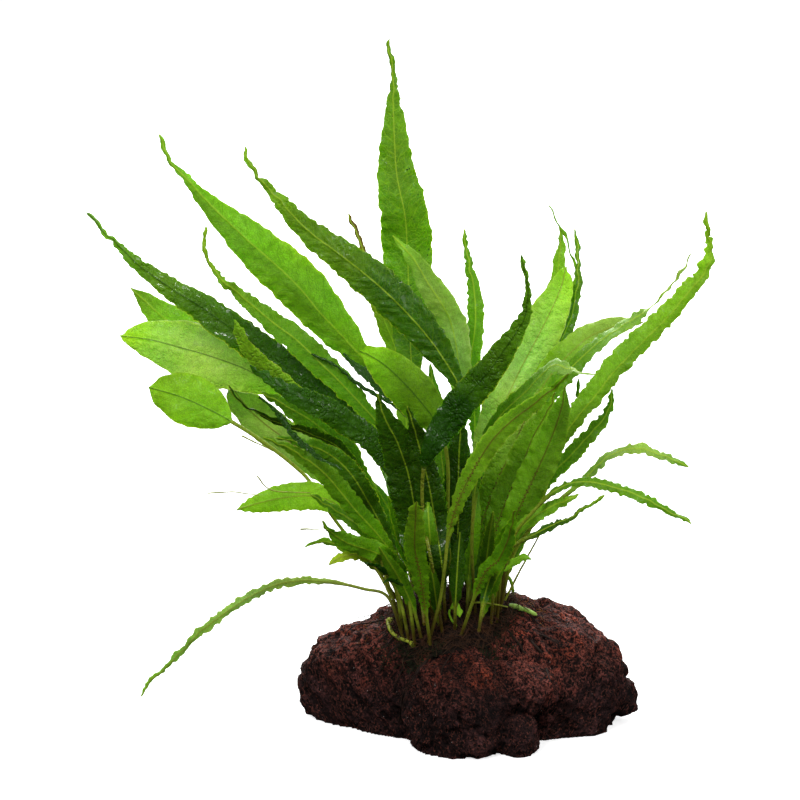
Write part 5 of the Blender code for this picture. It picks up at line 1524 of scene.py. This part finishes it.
def leaf_palette():
    settings = bpy.context.scene.fern_leaves
    names = ("bright", "light", "mid", "dark", "deep", "pale", "olive", "yellow", "rib", "stalk", "brown")
    return {name: np.array(getattr(settings, name)) for name in names}


def spore_spots(blade):
    """Places and facings of the spore cases along both sides of a midrib."""
    front, _, values = blade.surface()
    middle = len(blade.t) // 2
    spots, facings = [], []
    for side in (-1, 1):
        for distance in np.arange(0, blade.walked[-1], SPORE_SPACING):
            row = int(np.searchsorted(blade.walked, distance + 0.3 * side))
            if row >= len(blade.walked) or blade.half[row] < 1.0 or blade.blade[row] < 0.9 or blade.share[row] > 0.62:
                continue
            aside = np.abs(values["v"][row]) - SPORE_ASIDE
            beside = aside[middle + 1:] if side > 0 else aside[middle - 1::-1]
            spots.append(front[row, middle + side * (1 + int(np.argmin(np.abs(beside))))])
            facings.append(-blade.off[row])
    return spots, facings


# ---- Operators ----

class JAVAFERN_OT_stage(bpy.types.Operator):
    """Sets up the floor, the lights and the camera"""
    bl_idname = "javafern.stage"
    bl_label = "Stage"

    def execute(self, context):
        settings = context.scene.fern_stage
        bpy.ops.mesh.primitive_plane_add(size=30.0)
        floor = context.object
        floor.name = "floor"
        material, wires, shader = new_material("Pale floor", 0.9, Specular_IOR_Level=0.0, Emission_Strength=0.75)
        shader.inputs["Base Color"].default_value = (*settings.floor, 1)
        shader.inputs["Emission Color"].default_value = (*settings.floor, 1)
        material.cycles.emission_sampling = "NONE"
        floor.data.materials.append(material)
        floor.visible_diffuse = floor.visible_glossy = False

        world = bpy.data.worlds.new("Soft studio")
        context.scene.world = world
        world.use_nodes = True
        wires = Wiring(world.node_tree)
        path = world.node_tree.nodes.new("ShaderNodeLightPath")
        height = wires.parts(wires.add("ShaderNodeTexCoord"))[2]
        strength = wires.ramp(height, -0.6, 0.7, settings.sky * 0.35, settings.sky * 1.4)
        strength = wires.minus(strength, wires.times(path.outputs["Is Glossy Ray"], settings.sky))
        strength = wires.higher(strength, path.outputs["Is Camera Ray"])
        background = world.node_tree.nodes["Background"]
        background.inputs["Color"].default_value = (1, 1, 1, 1)
        wires.join(strength, background.inputs["Strength"])

        middle = Vector((VIEW_CENTRE[0], 10.0, VIEW_CENTRE[1])) * MM
        # Name, place in metres, length of its sides and power
        lights = (("key", (-0.55, -0.95, 1.05), 0.55, settings.key_power),
                  ("back", (-0.15, 1.15, 0.95), 1.1, settings.back_power),
                  ("side", (0.95, -0.35, 0.45), 0.5, settings.side_power),
                  ("glint", (0.15, -0.85, 0.75), 0.10, settings.glint_power))
        for name, place, size, power in lights:
            data = bpy.data.lights.new(name, "AREA")
            data.shape, data.size, data.energy = "SQUARE", size, power
            light = bpy.data.objects.new(name + "_light", data)
            context.scene.collection.objects.link(light)
            light.location = place
            light.rotation_euler = (middle - Vector(place)).to_track_quat("-Z", "Y").to_euler()
            light.visible_camera = False

        data = bpy.data.cameras.new("front")
        data.angle = 2 * math.atan(VIEW_HALF_WIDTH / VIEW_DISTANCE)
        camera = bpy.data.objects.new("front_camera", data)
        context.scene.collection.objects.link(camera)
        camera.location = Vector(EYE) * MM
        camera.rotation_euler = (math.pi / 2 - VIEW_TILT, 0, 0)
        context.scene.camera = camera
        context.scene.view_settings.view_transform = "Standard"
        return {"FINISHED"}


class JAVAFERN_OT_stone(bpy.types.Operator):
    """Makes the lump of porous lava rock"""
    bl_idname = "javafern.stone"
    bl_label = "Lava rock"

    def execute(self, context):
        settings = context.scene.fern_stone
        placed("lava_rock", rock_mesh(settings), "stone", "stone", material=rock_material(settings))
        return {"FINISHED"}


class JAVAFERN_OT_root_mound(bpy.types.Operator):
    """Makes the mound of roots on the rock and the fibres over it"""
    bl_idname = "javafern.root_mound"
    bl_label = "Root mound"

    def execute(self, context):
        settings = context.scene.fern_roots
        placed("root_mound", mound_mesh(), "roots", "root_mat",
               material=earthy_material("Root mound", settings.mound, 500.0, 0.95))
        arcs = (((0, 0, 0), (0.5, 0.1, 0.28), (1, 0, -0.05)), ((0, 0, 0), (0.45, -0.3, 0.18), (0.9, 0.25, -0.03)),
                ((0, 0, 0), (0.3, 0.3, 0.34), (0.75, 0.05, 0.0)))
        placed_fibres("root_fibres", earthy_material("Root fibre", settings.fibre, 300.0, 0.8, 0.75), arcs,
                      lambda node, place: node == "root_mat" and place[2] > 30 and from_mat(place) < 1.05,
                      (0.5, BLUNT_TIP, 3), {"Density": 1.1e6, "Length": settings.fibre_length,
                                            "Width": settings.fibre_width, "Seed": 5})
        return {"FINISHED"}


class JAVAFERN_OT_roots(bpy.types.Operator):
    """Lays roots over the rock, from the mat downwards"""
    bl_idname = "javafern.roots"
    bl_label = "Clinging roots"

    def execute(self, context):
        material = earthy_material("Clinging root", context.scene.fern_roots.strand, 400.0, 0.75, 0.5)
        placed_strands("clinging_roots", root_strands(), material, 7, 0, 0.0005, 0.9, "roots")
        return {"FINISHED"}


class JAVAFERN_OT_moss(bpy.types.Operator):
    """Grows moss and fine hairs around the root mat"""
    bl_idname = "javafern.moss"
    bl_label = "Moss and root hairs"

    def execute(self, context):
        settings = context.scene.fern_roots
        arcs = (((0, 0, 0), (0.12, 0.05, 0.55), (0.3, 0, 1)), ((0, 0, 0), (-0.1, 0.15, 0.5), (-0.15, 0.4, 0.9)))
        placed_fibres("moss", earthy_material("Moss", settings.moss, 350.0, 0.8, 0.6), arcs,
                      lambda node, place: place[2] > 24 and 0.8 < from_mat(place) < 1.22
                      and noise.noise(Vector(place) / 9.0) > -0.12,
                      (0.7, THIN_TIP, 21), {"Density": 1.6e6, "Length": settings.moss_height, "Width": 0.0004,
                                            "Seed": 8})
        arcs = (((0, 0, 0), (0.35, 0.1, 0.3), (1, 0, 0.3)), ((0, 0, 0), (0.3, -0.25, 0.35), (0.7, 0.3, 0.7)))
        placed_fibres("root_hairs", earthy_material("Root hair", settings.hair, 200.0, 0.7, 0.5), arcs,
                      lambda node, place: node == "stone" and place[2] > 26 and place[1] > 0
                      and 0.95 < from_mat(place) < 1.5 and noise.noise(Vector(place) / 12.0) > 0,
                      (0.9, THIN_TIP, 33), {"Density": 2.5e5, "Length": 0.0042, "Width": 0.00014, "Seed": 4})
        return {"FINISHED"}


class JAVAFERN_OT_leaves(bpy.types.Operator):
    """Makes every leaf, with its stalk, quilted blade and crinkled tip"""
    bl_idname = "javafern.leaves"
    bl_label = "Leaves"

    def execute(self, context):
        for number, leaf in enumerate(LEAVES):
            placed_blade(leaf.name.replace("leaf_", "blade_"), blade_of(number), leaf.name)
        return {"FINISHED"}


def grown_blade(spine, settings, seed):
    """The detailed blade on a spine, whose stalk starts just inside the root mat."""
    path = spine.path()
    length = np.linalg.norm(np.diff(path, axis=0), axis=1).sum()
    begin = max(0.0, spine.share[clear_of(path)] - STALK_SUNK / length)
    return Blade(spine.leaf, path, spine.turn, begin, settings, seed)


@functools.lru_cache(maxsize=None)
def blade_of(number):
    """The detailed blade on the leaf with this number."""
    return grown_blade(settled_spines()[number], bpy.context.scene.fern_leaves, 100 + 31 * number)


def placed_blade(name, blade, *nodes):
    """The finished leaf from a blade, with the material of its shade."""
    shade = blade.leaf.shade
    return placed(name, blade_mesh(blade), f"leaf_{shade}", *nodes, material=leaf_materials()[shade])


@functools.lru_cache
def inner_spines():
    """Spines of the short inner blades, kept clear of the other leaves as far as there is room."""
    spines = list(settled_spines())
    order = [(spine, False) for spine in spines]
    for number, inner in enumerate(INNER_BLADES):
        foot = as_seen(np.array([[*inner.root, height_over(ground(), *inner.root)]]))[0]
        tip = np.array(inner.tip, float)
        route = [tuple(foot + (tip - foot) * share + np.array([(foot - tip)[0] * bow, 0]))
                 for share, bow in ((0.35, 0.14), (0.7, 0.12), (1.0, 0.0))]
        leaf = Leaf(f"inner_{number}", inner.root, inner.depth, inner.width, 0.06 if inner.depth > 0 else 0.2, 0.5, 1.9,
                    (inner.turn, -inner.turn), inner.shade, route)
        place = next((index for index, (spine, _) in enumerate(order) if spine.leaf.tip_y < inner.depth), len(order))
        order.insert(place, (Spine(leaf), True))
    settle([spine for spine, _ in order], [moves for _, moves in order])
    inner = [spine for spine, moves in order if moves]
    for spine in inner:
        near, far = sorted((spine.leaf.root[1], spine.leaf.tip_y))
        smooth = np.polyval(np.polyfit(spine.share, spine.depth, 3), spine.share)
        spine.depth = np.clip(smooth, near - INNER_LEEWAY, far + INNER_LEEWAY)
    return inner


class JAVAFERN_OT_inner_blades(bpy.types.Operator):
    """Makes the short blades that fill the heart of the plant"""
    bl_idname = "javafern.inner_blades"
    bl_label = "Inner blades"

    def execute(self, context):
        for number, spine in enumerate(inner_spines()):
            placed_blade("blade_" + spine.leaf.name, grown_blade(spine, context.scene.fern_leaves, 700 + 17 * number))
        return {"FINISHED"}


class JAVAFERN_OT_scraps(bpy.types.Operator):
    """Makes the thin runners, shoots and scraps of leaf between the leaves"""
    bl_idname = "javafern.scraps"
    bl_label = "Runners and scraps"

    def execute(self, context):
        settings = context.scene.fern_leaves
        threads = []
        for number, scrap in enumerate(SCRAPS):
            path = at_depth(smooth_route(scrap.route, STATIONS), np.linspace(*scrap.depths, STATIONS))
            if scrap.width < THREAD_WIDTH:
                threads.append((path, np.linspace(scrap.width, scrap.width * 0.6, STATIONS) / 2))
                continue
            leaf = Leaf(f"scrap_{number}", (0, 0), 0, scrap.width, 0.0, 0.5, 1.2, (20, 40),
                        "deep" if scrap.colour == "deep" else "light", scrap.route)
            blade = Blade(leaf, path, np.radians(np.linspace(*leaf.turn, STATIONS)), 0.0, settings, 900 + number)
            blade.look = blade.look._replace(colours=(scrap.colour,) * 3, rib=scrap.colour, wet=0.8)
            placed_blade(leaf.name, blade)
        green = earthy_material("Runner", settings.stalk, 250.0, 0.5, 0.4)
        placed_strands("runners", threads, green, 6, 4, 0.0004, 0.5, "stalk")
        return {"FINISHED"}


class JAVAFERN_OT_young_growths(bpy.types.Operator):
    """Makes the rhizome's tip, the fiddlehead, the bent stalk and the young curled leaf"""
    bl_idname = "javafern.young_growths"
    bl_label = "Young growths"

    def execute(self, context):
        settings = context.scene.fern_leaves
        for young in YOUNG:
            seen = smooth_route(young.route, 40)
            foot, middle, tip = young.radii
            path = laid_on(ground(), seen, 0.7 * middle)
            if young.stands:
                path = at_depth(seen, np.full(len(seen), path[0, 1]))
            radii = np.interp(np.linspace(0, 1, len(path)), [0, 0.12, 0.5, 0.93, 1],
                              [foot, middle, middle, tip, tip * 0.55])
            material = earthy_material("Young " + young.node, getattr(settings, young.colour), 300.0, 0.45, 0.35)
            placed_strands("young_" + young.node, [(path, radii)], material, 14, 9, 0.0001, 0.3,
                           "rhizome" if young.node == "rhizome_tip" else "stalk", young.node)
            if young.node == "young_curled_leaf":
                seen = smooth_route([(-6.2, 40.6), (-4.6, 41), (-3.4, 39.8), (-3, 37.6)], STATIONS)
                leaf = Leaf("small_curled_blade", (0, 0), 0, 2.9, 0.0, 0.5, 1.0, (10, 10), "light", young.route)
                blade = Blade(leaf, at_depth(seen, np.linspace(path[-1, 1], path[-1, 1] - 1.2, STATIONS)),
                              np.radians(np.full(STATIONS, 10)), 0.0, settings, 991)
                blade.look = blade.look._replace(colours=("bright",) * 3)
                placed_blade(leaf.name, blade)
        return {"FINISHED"}


class JAVAFERN_OT_spores(bpy.types.Operator):
    """Sets spore cases along the midribs of the fertile leaves"""
    bl_idname = "javafern.spores"
    bl_label = "Spore cases"

    def execute(self, context):
        spots, facings = [], []
        for number, leaf in enumerate(LEAVES):
            if look_of(leaf).spores:
                more, facing = spore_spots(blade_of(number))
                spots += more
                facings += facing
        base = mesh_of("spore_spots", np.array(spots), np.zeros((0, 4), int),
                       attributes={"facing": np.array(facings)})
        material = earthy_material("Spore case", context.scene.fern_leaves.spore, 900.0, 0.7, 0.4)
        wires, given, out = growth_tree("Spore cases", {"Radius": 0.0004, "Seed": 6}, whole=("Seed",))
        ball = wires.add("GeometryNodeMeshIcoSphere", {"Radius": 1.0, "Subdivisions": 2})
        ball = wires.add("GeometryNodeTransform", {"Geometry": ball, "Scale": (1.0, 1.0, 0.55)})
        facing = wires.add("GeometryNodeInputNamedAttribute", {"Name": "facing"}, data_type="FLOAT_VECTOR")
        turn = wires.add("FunctionNodeAlignRotationToVector", {"Vector": facing}, axis="Z")
        size = wires.add("FunctionNodeRandomValue", {2: 0.75, 3: 1.2, "Seed": given["Seed"]}, 1, data_type="FLOAT")
        shape = wires.add("GeometryNodeInstanceOnPoints", {"Points": given[0], "Instance": ball, "Rotation": turn,
                                                           "Scale": wires.times(size, given["Radius"])})
        tree = end_tree(wires, shape, out, material)
        placed("spore_cases", grown("spore_cases", base, tree, {"Radius": 0.00023, "Seed": 6}), "stalk")
        return {"FINISHED"}


class JAVAFERN_PT_panel(bpy.types.Panel):
    """Java fern: its sizes, colours and makers"""
    bl_idname = "JAVAFERN_PT_panel"
    bl_label = "Java fern"
    bl_space_type = "VIEW_3D"
    bl_region_type = "UI"
    bl_category = "Java fern"

    def draw(self, context):
        for title, name, _, operators in SECTIONS:
            box = self.layout.box()
            box.label(text=title)
            settings = getattr(context.scene, name)
            for setting in settings.bl_rna.properties.keys():
                if setting not in ("rna_type", "name"):
                    box.prop(settings, setting)
            for operator in operators:
                box.operator(operator.bl_idname)


# What the panel shows together: title, name of the settings, their group and the operators that use them
SECTIONS = (
    ("Stage", "fern_stage", StageSettings, (JAVAFERN_OT_stage,)),
    ("Rock", "fern_stone", StoneSettings, (JAVAFERN_OT_stone,)),
    ("Roots and moss", "fern_roots", RootSettings,
     (JAVAFERN_OT_root_mound, JAVAFERN_OT_roots, JAVAFERN_OT_moss)),
    ("Leaves", "fern_leaves", LeafSettings,
     (JAVAFERN_OT_leaves, JAVAFERN_OT_inner_blades, JAVAFERN_OT_scraps, JAVAFERN_OT_young_growths,
      JAVAFERN_OT_spores)),
)


def register():
    for _, name, group, operators in SECTIONS:
        for each in (group, *operators):
            bpy.utils.register_class(each)
        setattr(bpy.types.Scene, name, PointerProperty(type=group))
    bpy.utils.register_class(JAVAFERN_PT_panel)


def unregister():
    bpy.utils.unregister_class(JAVAFERN_PT_panel)
    for _, name, group, operators in reversed(SECTIONS):
        delattr(bpy.types.Scene, name)
        for each in (*reversed(operators), group):
            bpy.utils.unregister_class(each)


def main():
    register()
    bpy.ops.javafern.stage()
    bpy.ops.javafern.stone()
    bpy.ops.javafern.root_mound()
    bpy.ops.javafern.roots()
    bpy.ops.javafern.moss()
    bpy.ops.javafern.leaves()
    bpy.ops.javafern.inner_blades()
    bpy.ops.javafern.scraps()
    bpy.ops.javafern.young_growths()
    bpy.ops.javafern.spores()


if __name__ == "__main__":
    main()
